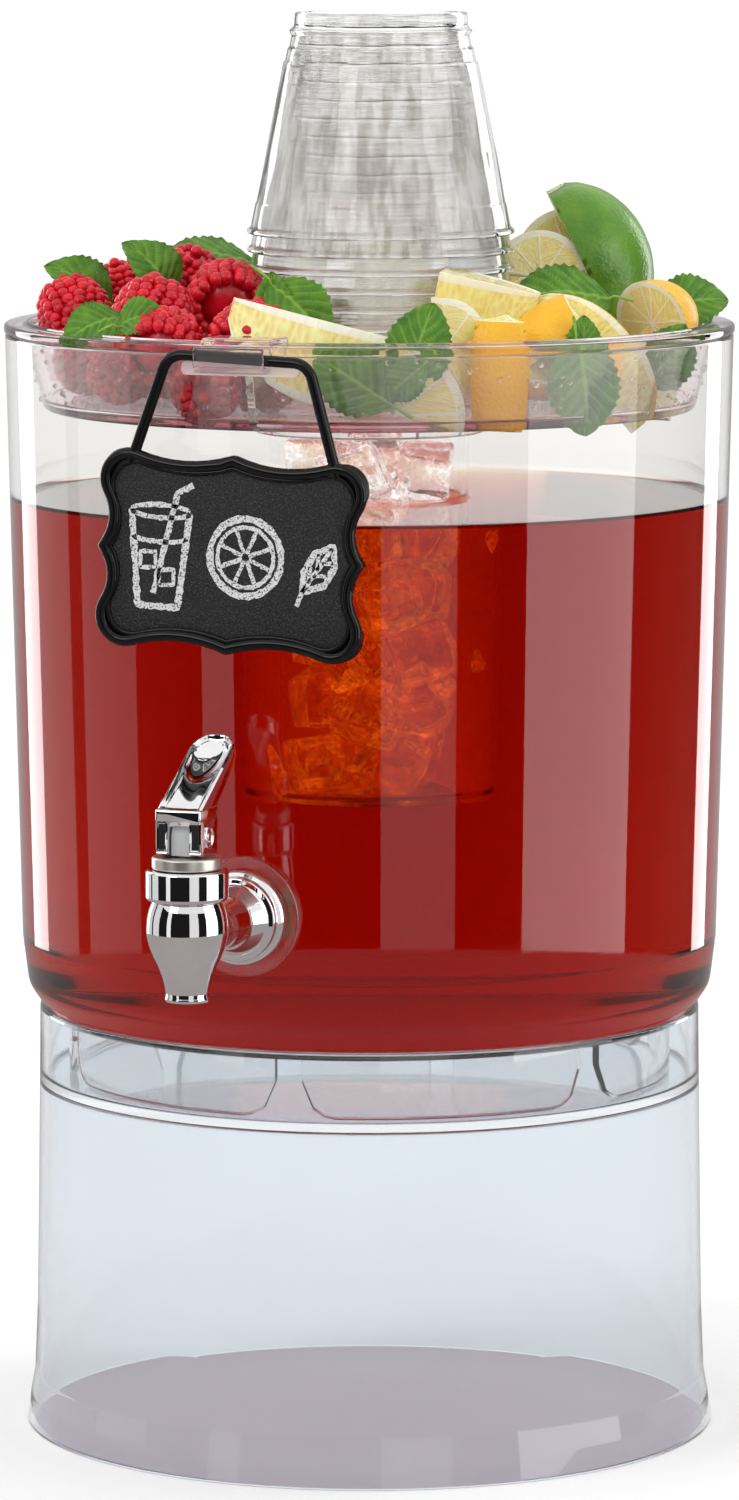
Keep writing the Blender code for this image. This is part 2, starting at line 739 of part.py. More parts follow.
def loop_path():
    """The handle's centre line, seen from the front: up one leg, along the bar and down."""
    foot_z = BOARD_HEIGHT / 2 - BOARD_DROP - LOOP_ROOT
    corners = [
        (-LOOP_LOW_HALF, foot_z),
        (-LOOP_TOP_HALF, 0, LOOP_CORNER),
        (LOOP_TOP_HALF, 0, LOOP_CORNER),
        (LOOP_LOW_HALF, foot_z),
    ]
    return [(x, 0, z) for x, z in filleted(corners, steps=4)]


def make_sign():
    """Frame, handle and chalk panel, hung from the bar and turned a little out of true."""
    hinge = anchor("sign_hinge", (BAR_X, -BAR_REACH, BAR_Z), DRUM_AXIS)
    hinge.rotation_euler.y = math.radians(SIGN_TILT)
    upright = (90, 0, 0)
    frame = plate("sign_frame", board_outline(0), BOARD_THICKNESS)
    handle = helper(wire("sign_handle", loop_path(), BAR_R), hinge)
    front = -BOARD_THICKNESS / 2
    pocket = plate("panel_pocket", board_outline(PANEL_INSET), 2 * POCKET_DEPTH)
    helper(pocket, hinge, (0, front, -BOARD_DROP), upright)
    boolean(frame, "UNION", handle)
    boolean(frame, "DIFFERENCE", pocket)
    part(frame, BLACK, hinge, (0, 0, -BOARD_DROP), upright)
    panel = plate("chalk_panel", board_outline(PANEL_INSET + GAP), PANEL_THICKNESS)
    depth = front + POCKET_DEPTH - GAP - PANEL_THICKNESS / 2
    part(panel, CHALKBOARD, hinge, (0, depth, -BOARD_DROP), upright)


def make_clip():
    """The clear clip: it sits over the tray's flange, and its hook carries the sign's bar."""
    top_low = FLANGE_Z + FLANGE_THICKNESS + 0.0004
    top = top_low + CLIP_THICKNESS
    leg_back = FLANGE_R + 0.0006
    leg_front = leg_back + CLIP_THICKNESS
    leg_low = DIVIDER_TOP_Z + CLIP_LEG_GAP
    leg_inside = CLIP_INNER_R + CLIP_LEG_THICKNESS
    hook_floor = BAR_Z - BAR_R - 0.0009
    lip = BAR_REACH + BAR_R + 0.001
    outline = [
        (CLIP_INNER_R, leg_low),
        (CLIP_INNER_R, top),
        (leg_front, top),
        (leg_front, hook_floor),
        (lip, hook_floor),
        (lip, BAR_Z + CLIP_LIP_RISE),
        (lip + CLIP_LEG_THICKNESS, BAR_Z + CLIP_LIP_RISE),
        (lip + CLIP_LEG_THICKNESS, hook_floor - CLIP_THICKNESS),
        (leg_back, hook_floor - CLIP_THICKNESS),
        (leg_back, top_low),
        (leg_inside, top_low),
        (leg_inside, leg_low),
    ]
    clip = plate("sign_clip", outline, CLIP_WIDTH)
    skirt_low = hook_floor - CLIP_THICKNESS - SKIRT_DROP
    skirt = block("clip_skirt", (SKIRT_WIDTH, CLIP_THICKNESS, SKIRT_HEIGHT))
    middle = (SKIRT_X, -(leg_back + leg_front) / 2, skirt_low + SKIRT_HEIGHT / 2)
    helper(skirt, DRUM_AXIS, middle)
    boolean(clip, "UNION", skirt)
    part(clip, CLEAR, DRUM_AXIS, (0, 0, 0), (90, 0, -90))


# ---------------------------------------------------------------- spigot


def make_tap_body():
    """Barrel, neck, wall flange and threaded shank in one casting, bored right through."""
    spigot_r = BONNET_BORE_R - BONNET_THREAD_GAP
    barrel = [
        (0, BONNET_ROOF_Z - GAP),
        (spigot_r, BONNET_ROOF_Z - GAP),
        (spigot_r, BONNET_LOW_Z - GAP),
        (BARREL_SHOULDER_R, BONNET_LOW_Z - GAP),
        *[(radius, TAP_Z + rise) for radius, rise in BARREL],
        (NOZZLE_R, NOZZLE_Z),
        (0, NOZZLE_Z),
    ]
    body = turned("spigot_body", barrel, TAP_STEPS)
    neck = [
        (0, TAP_REACH - NECK_END),
        (NECK_R, TAP_REACH - NECK_END),
        *[(radius, TAP_FLANGE_REACH + reach) for radius, reach in NECK],
        (SHANK_R, TAP_FLANGE_REACH),
        (SHANK_R, SHANK_END),
        (0, SHANK_END),
    ]
    neck = helper(turned("tap_neck", neck, TAP_STEPS), DRUM_AXIS, (0, 0, TAP_Z), (90, 0, 0))
    seat_z = TAP_Z - SEAT_DROP
    chamber = [
        (0, BONNET_ROOF_Z + 0.001),
        (CHAMBER_R, BONNET_ROOF_Z + 0.001),
        (CHAMBER_R, seat_z),
        (NOZZLE_BORE_R, seat_z - SEAT_DEPTH),
        (NOZZLE_BORE_R, NOZZLE_Z - 0.001),
        (0, NOZZLE_Z - 0.001),
    ]
    chamber = helper(turned("tap_chamber", chamber, TAP_STEPS), TAP_AXIS)
    bore = rod("neck_bore", NECK_BORE_R, SHANK_END - 0.001, TAP_REACH)
    helper(bore, DRUM_AXIS, (0, 0, TAP_Z), (90, 0, 0))
    boolean(body, "UNION", neck)
    boolean(body, "DIFFERENCE", chamber, bore)
    part(body, CHROME, TAP_AXIS)


def make_wall_seals():
    """A gasket on each side of the drum's wall, shaped to it, and the nut that draws them in."""
    hole_r = SHANK_R + THREAD_CLEARANCE
    wall_low = TAP_Z - 0.03
    wall_high = TAP_Z + 0.03

    def wall_solid(name, offset):
        low_r = drum_wall_r(wall_low) + offset
        high_r = drum_wall_r(wall_high) + offset
        profile = [(0, wall_high), (high_r, wall_high), (low_r, wall_low), (0, wall_low)]
        return helper(turned(name, profile, SHELL_STEPS), DRUM_AXIS)

    def washer(name, radius, start, end):
        profile = [(radius, end), (radius, start), (hole_r, start), (hole_r, end)]
        return turned(name, profile, TAP_STEPS, closed=True)

    outer = washer("outer_gasket", GASKET_R, drum_wall_r(TAP_Z) - 0.004, TAP_FLANGE_REACH - GAP)
    boolean(outer, "DIFFERENCE", wall_solid("wall_outside", GAP))
    part(outer, SILICONE, DRUM_AXIS, (0, 0, TAP_Z), (90, 0, 0))
    inner = washer("inner_gasket", INNER_GASKET_R, INNER_GASKET_REACH, drum_wall_r(TAP_Z))
    boolean(inner, "INTERSECT", wall_solid("wall_inside", -DRUM_WALL - 2 * GAP))
    part(inner, SILICONE, DRUM_AXIS, (0, 0, TAP_Z), (90, 0, 0))
    bore = rod("nut_bore", hole_r, NUT_REACH - 0.001, INNER_GASKET_REACH + 0.001)
    nut = rod("shank_nut", NUT_R, NUT_REACH, INNER_GASKET_REACH - GAP, steps=6)
    boolean(nut, "DIFFERENCE", helper(bore, DRUM_AXIS, (0, 0, TAP_Z), (90, 0, 0)))
    part(nut, NUT_PLASTIC, DRUM_AXIS, (0, 0, TAP_Z), (90, 0, 0))


def make_bonnet():
    """The screw cap of the barrel, and the satin ring on which the lever's heel bears."""
    cap = [
        (BONNET_R, BONNET_TOP_Z, 0.0012),
        (BONNET_R, BONNET_LOW_Z, 0.0012),
        (BONNET_BORE_R, BONNET_LOW_Z),
        (BONNET_BORE_R, BONNET_ROOF_Z),
        (STEM_BORE_R, BONNET_ROOF_Z),
        (STEM_BORE_R, BONNET_TOP_Z),
    ]
    part(turned("bonnet_collar", filleted(cap), TAP_STEPS, closed=True), CHROME, TAP_AXIS)
    ring = [
        (RING_R, RING_TOP_Z, 0.0006),
        (RING_R, BONNET_TOP_Z + GAP, 0.0006),
        (STEM_BORE_R, BONNET_TOP_Z + GAP),
        (STEM_BORE_R, RING_TOP_Z),
    ]
    part(turned("bonnet_ring", filleted(ring), TAP_STEPS, closed=True), SATIN, TAP_AXIS)


def make_stem():
    """The lifting stem: a round shaft with a spring collar, and a tongue for the lever's pin."""
    shaft = [
        (0, PIVOT_Z - 0.002),
        (STEM_R, PIVOT_Z - 0.002),
        (STEM_R, STEM_COLLAR_Z + STEM_COLLAR_THICKNESS),
        (STEM_COLLAR_R, STEM_COLLAR_Z + STEM_COLLAR_THICKNESS),
        (STEM_COLLAR_R, STEM_COLLAR_Z),
        (STEM_R, STEM_COLLAR_Z),
        (STEM_R, STEM_LOW_Z),
        (0, STEM_LOW_Z),
    ]
    stem = turned("valve_stem", shaft, TAP_STEPS)
    low = RING_TOP_Z + 0.0007 - PIVOT_Z
    arch = [math.radians(180 * i / 10) for i in range(11)]
    outline = [(TONGUE_R * math.cos(a), TONGUE_R * math.sin(a)) for a in arch]
    tongue = plate("stem_tongue", [*outline, (-TONGUE_R, low), (TONGUE_R, low)], TONGUE_WIDTH)
    helper(tongue, TAP_AXIS, (0, 0, PIVOT_Z), (90, 0, 90))
    hole = helper(rod("stem_pin_hole", PIN_HOLE_R, -0.01, 0.01, 16), TAP_AXIS, (0, 0, PIVOT_Z), (0, 90, 0))
    boolean(stem, "UNION", tongue)
    boolean(stem, "DIFFERENCE", hole)
    part(stem, STEM_PLASTIC, TAP_AXIS)
    seal_r = STEM_R + THREAD_CLEARANCE
    seal = [
        (0, STEM_LOW_Z - GAP),
        (seal_r, STEM_LOW_Z - GAP),
        (seal_r, STEM_LOW_Z + SEAL_SOCKET),
        (SEAL_R, STEM_LOW_Z + SEAL_SOCKET),
        (SEAL_R, TAP_Z - SEAL_DROP),
        (SEAL_TIP_R, TAP_Z - SEAL_DROP - SEAL_BEVEL),
        (0, TAP_Z - SEAL_DROP - SEAL_BEVEL),
    ]
    part(turned("seat_seal", seal, TAP_STEPS), RUBBER, TAP_AXIS)


def make_spring():
    """The coil that presses the stem's collar down from the bonnet's roof."""
    low = STEM_COLLAR_Z + STEM_COLLAR_THICKNESS + SPRING_WIRE_R + GAP
    high = BONNET_ROOF_Z - SPRING_WIRE_R - GAP
    count = SPRING_TURNS * SPRING_STEPS
    path = []
    for i in range(count + 1):
        angle = math.tau * SPRING_TURNS * i / count
        height = low + (high - low) * i / count
        path.append((SPRING_R * math.cos(angle), SPRING_R * math.sin(angle), height))
    part(wire("valve_spring", path, SPRING_WIRE_R, resolution=1), STEEL, TAP_AXIS)


def heel_curve():
    """The heel below the pivot: however far the lever turns, it lifts the stem in proportion."""
    drop = PIVOT_Z - RING_TOP_Z - GAP
    points = []
    for step in range(9):
        turn = math.radians(LEVER_TRAVEL * step / 8)
        reach = drop + HEEL_RISE * turn
        back = -reach * math.sin(turn) - HEEL_RISE * math.cos(turn)
        height = -reach * math.cos(turn) + HEEL_RISE * math.sin(turn)
        if back < -HEEL_REACH:
            break
        points.append((back, height))
    return points


def make_lever():
    """The fork and its thumb paddle, leaning back over the neck."""
    heel = heel_curve()
    outline = [
        (HEEL_REACH, heel[0][1]),
        *heel,
        (-HEEL_REACH, heel[-1][1] + 0.0004),
        *PADDLE,
    ]
    lever = plate("tap_lever", outline, LEVER_WIDTH)
    slot = block("lever_slot", (LEVER_SLOT, 0.03, 0.03), (0, 0, LEVER_SLOT_TOP - 0.015))
    helper(slot, TAP_AXIS, (0, 0, PIVOT_Z))
    hole = helper(rod("lever_pin_hole", PIN_HOLE_R, -0.02, 0.02, 16), TAP_AXIS, (0, 0, PIVOT_Z), (0, 90, 0))
    boolean(lever, "DIFFERENCE", slot, hole)
    bevel = lever.modifiers.new("edges", "BEVEL")
    bevel.width = LEVER_BEVEL
    bevel.segments = 1
    bevel.limit_method = "ANGLE"
    bevel.angle_limit = math.radians(50)
    part(lever, CHROME, TAP_AXIS, (0, 0, PIVOT_Z), (90, 0, 90))
    pin_half = LEVER_WIDTH / 2 + 0.0004
    pin = rod("pivot_pin", PIN_R, -pin_half, pin_half, 16)
    part(pin, STEEL, TAP_AXIS, (0, 0, PIVOT_Z), (0, 90, 0))


clear_scene()
PARTS = new_collection("beverage_dispenser")
CUTTERS = new_collection("cutters")
DRUM_AXIS = anchor("drum_axis", (0, AXIS_Y, 0))
TAP_AXIS = anchor("tap_axis", (0, -TAP_REACH, 0), DRUM_AXIS)

make_stand()
make_drum()
make_tea()
make_tray()
make_core()
make_ice()
make_heap("raspberry_heap", RASPBERRY, -120, RASPBERRY_TOP_Z)
make_heap("citrus_heap", CITRUS, 0, CITRUS_TOP_Z)
make_heap("lime_heap", LIME, 120, LIME_TOP_Z)
make_cups()
make_clip()
make_sign()
make_tap_body()
make_wall_seals()
make_bonnet()
make_stem()
make_spring()
make_lever()
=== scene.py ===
"""The looks of the beverage dispenser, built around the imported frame. Metres, +Z up, spigot at -Y."""

import json
import math
import random

import bmesh
import bpy
import numpy as np
from mathutils import Matrix, Vector, noise


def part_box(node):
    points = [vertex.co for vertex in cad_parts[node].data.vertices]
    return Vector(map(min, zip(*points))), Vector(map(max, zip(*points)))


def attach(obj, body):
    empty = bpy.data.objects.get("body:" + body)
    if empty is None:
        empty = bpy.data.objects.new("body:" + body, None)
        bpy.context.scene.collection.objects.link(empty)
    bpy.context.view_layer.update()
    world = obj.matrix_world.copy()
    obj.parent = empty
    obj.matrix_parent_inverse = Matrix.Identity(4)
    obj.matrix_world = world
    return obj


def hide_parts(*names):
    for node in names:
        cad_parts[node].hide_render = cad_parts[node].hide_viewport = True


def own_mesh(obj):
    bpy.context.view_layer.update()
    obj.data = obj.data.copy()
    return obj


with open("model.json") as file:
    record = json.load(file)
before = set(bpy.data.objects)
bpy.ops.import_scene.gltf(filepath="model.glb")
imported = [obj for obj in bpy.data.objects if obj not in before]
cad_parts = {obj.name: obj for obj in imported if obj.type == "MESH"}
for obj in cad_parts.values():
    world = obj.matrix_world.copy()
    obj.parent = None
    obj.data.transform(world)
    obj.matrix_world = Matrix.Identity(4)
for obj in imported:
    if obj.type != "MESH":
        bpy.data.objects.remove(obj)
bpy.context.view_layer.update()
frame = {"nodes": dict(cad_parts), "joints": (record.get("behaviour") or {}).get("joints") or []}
JOINTS = {joint["name"]: joint for joint in frame["joints"]}
SCENE = bpy.context.scene
AXIS = Vector((0, JOINTS["core_twist"]["pos_m"][1], 0))
PIVOT = Vector(JOINTS["lever_tilt"]["pos_m"])
HINGE = Vector(JOINTS["sign_swing"]["pos_m"])
CAMERA_AZIMUTH = 20.0
FRONT_TURN = Matrix.Rotation(math.radians(90), 4, "X")  # local Z comes to the front
SIDE_TURN = Matrix.Rotation(math.radians(90), 4, "Z") @ FRONT_TURN  # local Z comes to the right
WHITE = (1, 1, 1)

# Levels, radii and angles that several functions or outlines share
DRUM_RIM_R, DRUM_RIM_Z = 0.1301, 0.4050
DRUM_FLOOR_Z = 0.1575
MENISCUS = 0.0016  # how far the drink climbs the wall
DRUM_CORNER_R = 0.1160
DRUM_BEND_R, DRUM_BEND_Z = 0.1228, 0.1675
DRUM_WALL_R, DRUM_WALL_Z = 0.1249, 0.1835
CORE_LOW_R, CORE_LOW_Z = 0.0345, 0.2370
CORE_TOP_R, CORE_TOP_Z = 0.0370, 0.3765
TRAY_LOW_Z = 0.3775
TRAY_FLOOR_Z = 0.3805
COLLAR_LOW_Z = 0.3685
LUG_START, LUG_SPAN = 46, 28  # degrees
TAP_HOLE_Z = 0.2064
BARREL_TOP_Z = 0.2200
SIGN_DROP = 0.069  # from the bar to the middle of the board
SIGN_HALF_HEIGHT = 0.03525


# ---------------------------------------------------------------- mesh helpers


def add_mesh(
    name, verts, faces, material, body, slot=None, stands_for=(), origin=(0, 0, 0), turn=None, sharp=32.0,
):
    """A new piece that rides on a body: shaded smooth, with edges over sharp degrees kept crisp."""
    mesh = new_mesh(name, verts, faces, material)
    tidy = bmesh.new()
    tidy.from_mesh(mesh)
    bmesh.ops.recalc_face_normals(tidy, faces=tidy.faces)
    tidy.to_mesh(mesh)
    tidy.free()
    return add_piece(name, smoothed(mesh, sharp), body, slot, stands_for, origin, turn)


def add_piece(name, mesh, body, slot=None, stands_for=(), origin=(0, 0, 0), turn=None):
    obj = new_object(name, mesh)
    matrix = Matrix.Translation(Vector(origin))
    obj.matrix_world = matrix @ turn.to_4x4() if turn is not None else matrix
    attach(obj, body)
    if stands_for:
        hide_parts(*stands_for)
    return obj


def new_object(name, data):
    obj = bpy.data.objects.new(name, data)
    SCENE.collection.objects.link(obj)
    return obj


def new_mesh(name, verts, faces, material):
    mesh = bpy.data.meshes.new(name)
    mesh.from_pydata([tuple(v) for v in verts], [], faces)
    for one in material if isinstance(material, (list, tuple)) else [material]:
        mesh.materials.append(one)
    return mesh


def smoothed(mesh, sharp=None):
    mesh.polygons.foreach_set("use_smooth", [True] * len(mesh.polygons))
    if sharp is not None:
        mesh.set_sharp_from_angle(angle=math.radians(sharp))
    return mesh


def store(mesh, name, kind, values):
    """Keeps a number or a vector at each point, for the material to read."""
    attribute = mesh.attributes.new(name, kind, "POINT")
    field = "vector" if kind == "FLOAT_VECTOR" else "value"
    attribute.data.foreach_set(field, np.array(values, np.float32).ravel())


def scaled(size):
    return Matrix.Diagonal((size,) * 3)


def spin(*turns):
    """Rotations (angle, axis) multiplied from left to right, so that the last acts first."""
    made = Matrix.Identity(3)
    for angle, axis in turns:
        made = made @ Matrix.Rotation(angle, 3, axis)
    return made


def strips(rows, width, wrap=True, closed=False):
    """Four-sided faces between neighbouring rows of points; wrap joins the ends of each row, and closed
    joins the last row to the first."""
    faces = []
    for i in range(rows if closed else rows - 1):
        a, b = i * width, (i + 1) % rows * width
        for k in range(width if wrap else width - 1):
            n = (k + 1) % width
            faces.append((a + k, a + n, b + n, b + k))
    return faces


def sleeve(rows, width):
    """The faces of a body made of rows of points, with both ends closed."""
    return [*strips(rows, width), tuple(range(width)), tuple((rows - 1) * width + k for k in range(width))]


def circle(radius, z, count):
    turns = [math.tau * k / count for k in range(count)]
    return [(radius * math.cos(a), AXIS.y + radius * math.sin(a), z) for a in turns]


def rounded(corners, steps=4):
    """A closed outline through corners (x, y[, radius]), with each radius turned as an arc."""
    points = []
    for i, corner in enumerate(corners):
        here = Vector(corner[:2])
        if len(corner) < 3 or corner[2] <= 0:
            points.append(tuple(here))
            continue
        before = Vector(corners[i - 1][:2]) - here
        after = Vector(corners[(i + 1) % len(corners)][:2]) - here
        half = before.angle(after) / 2
        reach = min(corner[2] / math.tan(half), 0.48 * before.length, 0.48 * after.length)
        radius = reach * math.tan(half)
        middle = here + (before.normalized() + after.normalized()).normalized() * radius / math.sin(half)
        start = here + before.normalized() * reach - middle
        end = here + after.normalized() * reach - middle
        sweep = math.atan2(start.x * end.y - start.y * end.x, start.dot(end))
        points += [tuple(middle + Matrix.Rotation(sweep * k / steps, 2) @ start) for k in range(steps + 1)]
    return points


def supported(outline, closed):
    """The outline with points beside each corner and along each long run, which keep the shading true."""
    gap, near = 0.011, 0.0005
    points = []
    for one, two in zip(outline, outline[1:] + outline[:1] if closed else outline[1:]):
        points.append(one)
        a, b = Vector(one), Vector(two)
        run = (b - a).length
        if run < 4 * near or max(a.x, b.x) < 1e-6:
            continue
        count = math.ceil((run - 2 * near) / gap)
        points += [tuple(a.lerp(b, (near + (run - 2 * near) * k / count) / run)) for k in range(count + 1)]
    return points if closed else [*points, outline[-1]]


def lathe_mesh(outline, steps, closed=True, shape=None):
    """Points and faces of an outline of (radius, height) turned about Z."""
    outline = supported([tuple(point) for point in outline], closed)
    verts, rings, faces = [], [], []
    for radius, height in outline:
        if radius < 1e-6:
            rings.append([len(verts)])
            verts.append(Vector((0, 0, height)))
            continue
        rings.append(list(range(len(verts), len(verts) + steps)))
        for k in range(steps):
            a = math.tau * k / steps
            r = radius + (shape(a, height) if shape else 0)
            verts.append(Vector((r * math.cos(a), r * math.sin(a), height)))
    pairs = list(zip(rings, rings[1:]))
    if closed:
        pairs.append((rings[-1], rings[0]))
    for one, two in pairs:
        for k in range(steps):
            n = (k + 1) % steps
            if len(one) > 1 and len(two) > 1:
                faces.append((one[k], one[n], two[n], two[k]))
            elif len(one) > 1:
                faces.append((one[k], one[n], two[0]))
            elif len(two) > 1:
                faces.append((one[0], two[n], two[k]))
    return verts, faces


def tube_mesh(path, radius, sides=12, closed=False):
    """Points and faces of a round rod along a path."""
    path = [Vector(p) for p in path]
    verts, count = [], len(path)
    across = None
    for i, p in enumerate(path):
        ahead = path[(i + 1) % count] if closed or i + 1 < count else p
        behind = path[i - 1] if closed or i else p
        along = (ahead - behind).normalized()
        if across is None:
            across = along.orthogonal().normalized()
        across = (across - along * across.dot(along)).normalized()
        up = along.cross(across)
        r = radius[i] if isinstance(radius, (list, tuple)) else radius
        for k in range(sides):
            a = math.tau * k / sides
            verts.append(p + across * (r * math.cos(a)) + up * (r * math.sin(a)))
    return verts, strips(count, sides, closed=True) if closed else sleeve(count, sides)


def slab_mesh(outline, thickness, bevel=0.0):
    """A plate on an outline in X and Y, from z 0 down to -thickness, its front edge rounded."""
    count = len(outline)
    line = [Vector(p) for p in outline]
    normals = []
    for i in range(count):
        t = (line[(i + 1) % count] - line[i - 1]).normalized()
        normals.append(Vector((-t.y, t.x)))
    area = sum(line[i - 1].x * line[i].y - line[i].x * line[i - 1].y for i in range(count))
    inward = 1 if area > 0 else -1
    levels = [(0.0, -thickness)]
    for k in range(4):
        a = math.pi / 2 * k / 3
        levels.append((bevel * (1 - math.cos(a)), -bevel + bevel * math.sin(a)))
    verts = []
    for inset, z in levels:
        for p, n in zip(line, normals):
            q = p + n * inward * inset
            verts.append(Vector((q.x, q.y, z)))
    return verts, sleeve(len(levels), count)


def ball(size, rows, columns):
    """Points and faces of a sphere in rows and columns."""
    verts, faces = [Vector((0, 0, -size))], []
    for i in range(1, rows):
        a = math.pi * i / rows
        for k in range(columns):
            b = math.tau * k / columns
            verts.append(Vector((math.sin(a) * math.cos(b), math.sin(a) * math.sin(b), -math.cos(a))) * size)
    verts.append(Vector((0, 0, size)))
    last = len(verts) - 1
    for k in range(columns):
        n = (k + 1) % columns
        faces.append((0, 1 + n, 1 + k))
        faces.append((last, last - columns + k, last - columns + n))
        for i in range(rows - 2):
            a, b = 1 + i * columns, 1 + (i + 1) * columns
            faces.append((a + k, a + n, b + n, b + k))
    return verts, faces


def joined(*meshes):
    verts, faces = [], []
    for some_verts, some_faces in meshes:
        faces += [tuple(i + len(verts) for i in face) for face in some_faces]
        verts += some_verts
    return verts, faces


def moved(mesh, matrix):
    return [matrix @ Vector(v) for v in mesh[0]], mesh[1]


def polar(radius, azimuth, z=0.0):
    """A point about the drum's axis; azimuth 0 is the front and it grows towards +X."""
    a = math.radians(azimuth)
    return AXIS + Vector((radius * math.sin(a), -radius * math.cos(a), z))


def seen(*millimetres):
    """A point about the drum's axis, for the main view: to the right, toward the viewer, and up."""
    x, toward, z = (length / 1000 for length in millimetres)
    a = math.radians(CAMERA_AZIMUTH)
    return AXIS + Vector((x * math.cos(a) + toward * math.sin(a), x * math.sin(a) - toward * math.cos(a), z))


# ---------------------------------------------------------------- materials


def new_material(name):
    material = bpy.data.materials.new(name)
    material.use_nodes = True
    tree = material.node_tree
    shader = tree.nodes["Principled BSDF"]
    return material, tree, shader


def node(tree, kind, **values):
    """A new node; values that start with in_ set its inputs, the others its own settings."""
    made = tree.nodes.new(kind)
    for key, value in values.items():
        if key.startswith("in_"):
            made.inputs[key[3:]].default_value = value
        else:
            setattr(made, key, value)
    return made


def noise_texture(tree, scale, detail=3.0, stretch=(1, 1, 1), rough=0.55, lean=0.0):
    where = node(tree, "ShaderNodeTexCoord")
    mapping = node(tree, "ShaderNodeMapping")
    mapping.inputs["Rotation"].default_value = (lean, lean, 0)
    mapping.inputs["Scale"].default_value = stretch
    tree.links.new(where.outputs["Object"], mapping.inputs["Vector"])
    texture = node(tree, "ShaderNodeTexNoise", in_Scale=scale, in_Detail=detail, in_Roughness=rough)
    tree.links.new(mapping.outputs["Vector"], texture.inputs["Vector"])
    return texture


def ramp(tree, source, stops):
    """A colour ramp from a list of (place, colour); colours may be single numbers."""
    made = node(tree, "ShaderNodeValToRGB")
    elements = made.color_ramp.elements
    while len(elements) < len(stops):
        elements.new(0.5)
    for element, (place, colour) in zip(elements, stops):
        element.position = place
        element.color = (colour,) * 3 + (1,) if isinstance(colour, (int, float)) else (*colour, 1)
    tree.links.new(source, made.inputs["Fac"])
    return made.outputs["Color"]


def tinted(tree, source, stops, shader, socket):
    """Drives one of the shader's inputs from a texture through a ramp."""
    tree.links.new(ramp(tree, source.outputs["Fac"], stops), shader.inputs[socket])


def bump(tree, shader, height, strength, distance):
    made = node(tree, "ShaderNodeBump", in_Strength=strength, in_Distance=distance)
    tree.links.new(height, made.inputs["Height"])
    tree.links.new(made.outputs["Normal"], shader.inputs["Normal"])


def clear_plastic(
    name, colour, ior=1.49, rough=0.012, wave=0.0, scale=14.0,
    density=0.0, absorb=WHITE, wet=False, cloud=0.0, glow=0.0,
):
    """Clear moulded plastic: slight waves from the mould, and faint handling marks in its gloss.

    A wet face touches the drink, so it barely reflects except at a glancing angle. Cloud is the share
    that scatters, and the glow is painted light: emission at a block's edges and in bright patches, standing
    in for the light that reaches the ice through the drink."""
    material, tree, shader = new_material(name)
    if wet:
        shader.inputs["Specular Tint"].default_value = (0, 0, 0, 1)
    shader.inputs["Transmission Weight"].default_value = 1.0 - cloud
    # Painted light: the glow is emission at the edges and in bright patches, standing in for light on the
    # ice.
    if glow:
        edges = node(tree, "ShaderNodeAttribute", attribute_name="tone")
        patches = noise_texture(tree, 130.0, 3.0)
        painted_light = node(tree, "ShaderNodeMath", operation="MULTIPLY")
        tree.links.new(ramp(tree, edges.outputs["Fac"], [(0.0, 0.35), (1.0, 1.0)]), painted_light.inputs[0])
        painted_sparkle = [(0.44, 0.0), (0.47, 0.55), (0.49, 0.08), (0.55, 0.12), (0.58, 1.0), (0.61, 0.2)]
        tree.links.new(ramp(tree, patches.outputs["Fac"], painted_sparkle), painted_light.inputs[1])
        shades = [(0.0, 0.0), (1.0, (1, 0.98, 0.96))]
        tree.links.new(ramp(tree, painted_light.outputs["Value"], shades), shader.inputs["Emission Color"])
        shader.inputs["Emission Strength"].default_value = glow
    shader.inputs["IOR"].default_value = ior
    marks = noise_texture(tree, 90.0, 6.0, (1, 1, 0.35))
    tinted(tree, marks, [(0.45, rough), (0.75, rough * 3 + 0.01)], shader, "Roughness")
    tint = noise_texture(tree, 9.0, 2.0, (1, 1, 0.5))
    warm = tuple(min(1.0, c * 1.02) for c in colour)
    tinted(tree, tint, [(0.35, colour), (0.65, warm)], shader, "Base Color")
    if wave:
        waves = noise_texture(tree, scale, 1.0, (1, 1, 0.12))
        bump(tree, shader, waves.outputs["Fac"], wave, 0.004)
    if density:
        volume = node(tree, "ShaderNodeVolumeAbsorption")
        volume.inputs["Color"].default_value = (*absorb, 1)
        volume.inputs["Density"].default_value = density
        tree.links.new(volume.outputs["Volume"], tree.nodes["Material Output"].inputs["Volume"])
    return material


def solid_plastic(name, colour, rough, grain=900.0, depth=0.00002, metallic=0.0, shine=0.5):
    """Opaque plastic, rubber or metal with a fine surface and slightly uneven gloss."""
    material, tree, shader = new_material(name)
    shader.inputs["Metallic"].default_value = metallic
    shader.inputs["Specular IOR Level"].default_value = shine
    patches = noise_texture(tree, 60.0, 4.0)
    dark = tuple(c * 0.88 for c in colour)
    tinted(tree, patches, [(0.3, dark), (0.7, colour)], shader, "Base Color")
    tinted(tree, patches, [(0.3, rough), (0.75, min(1.0, rough * 1.35 + 0.01))], shader, "Roughness")
    fine = noise_texture(tree, grain, 3.0)
    bump(tree, shader, fine.outputs["Fac"], 0.35, depth)
    return material


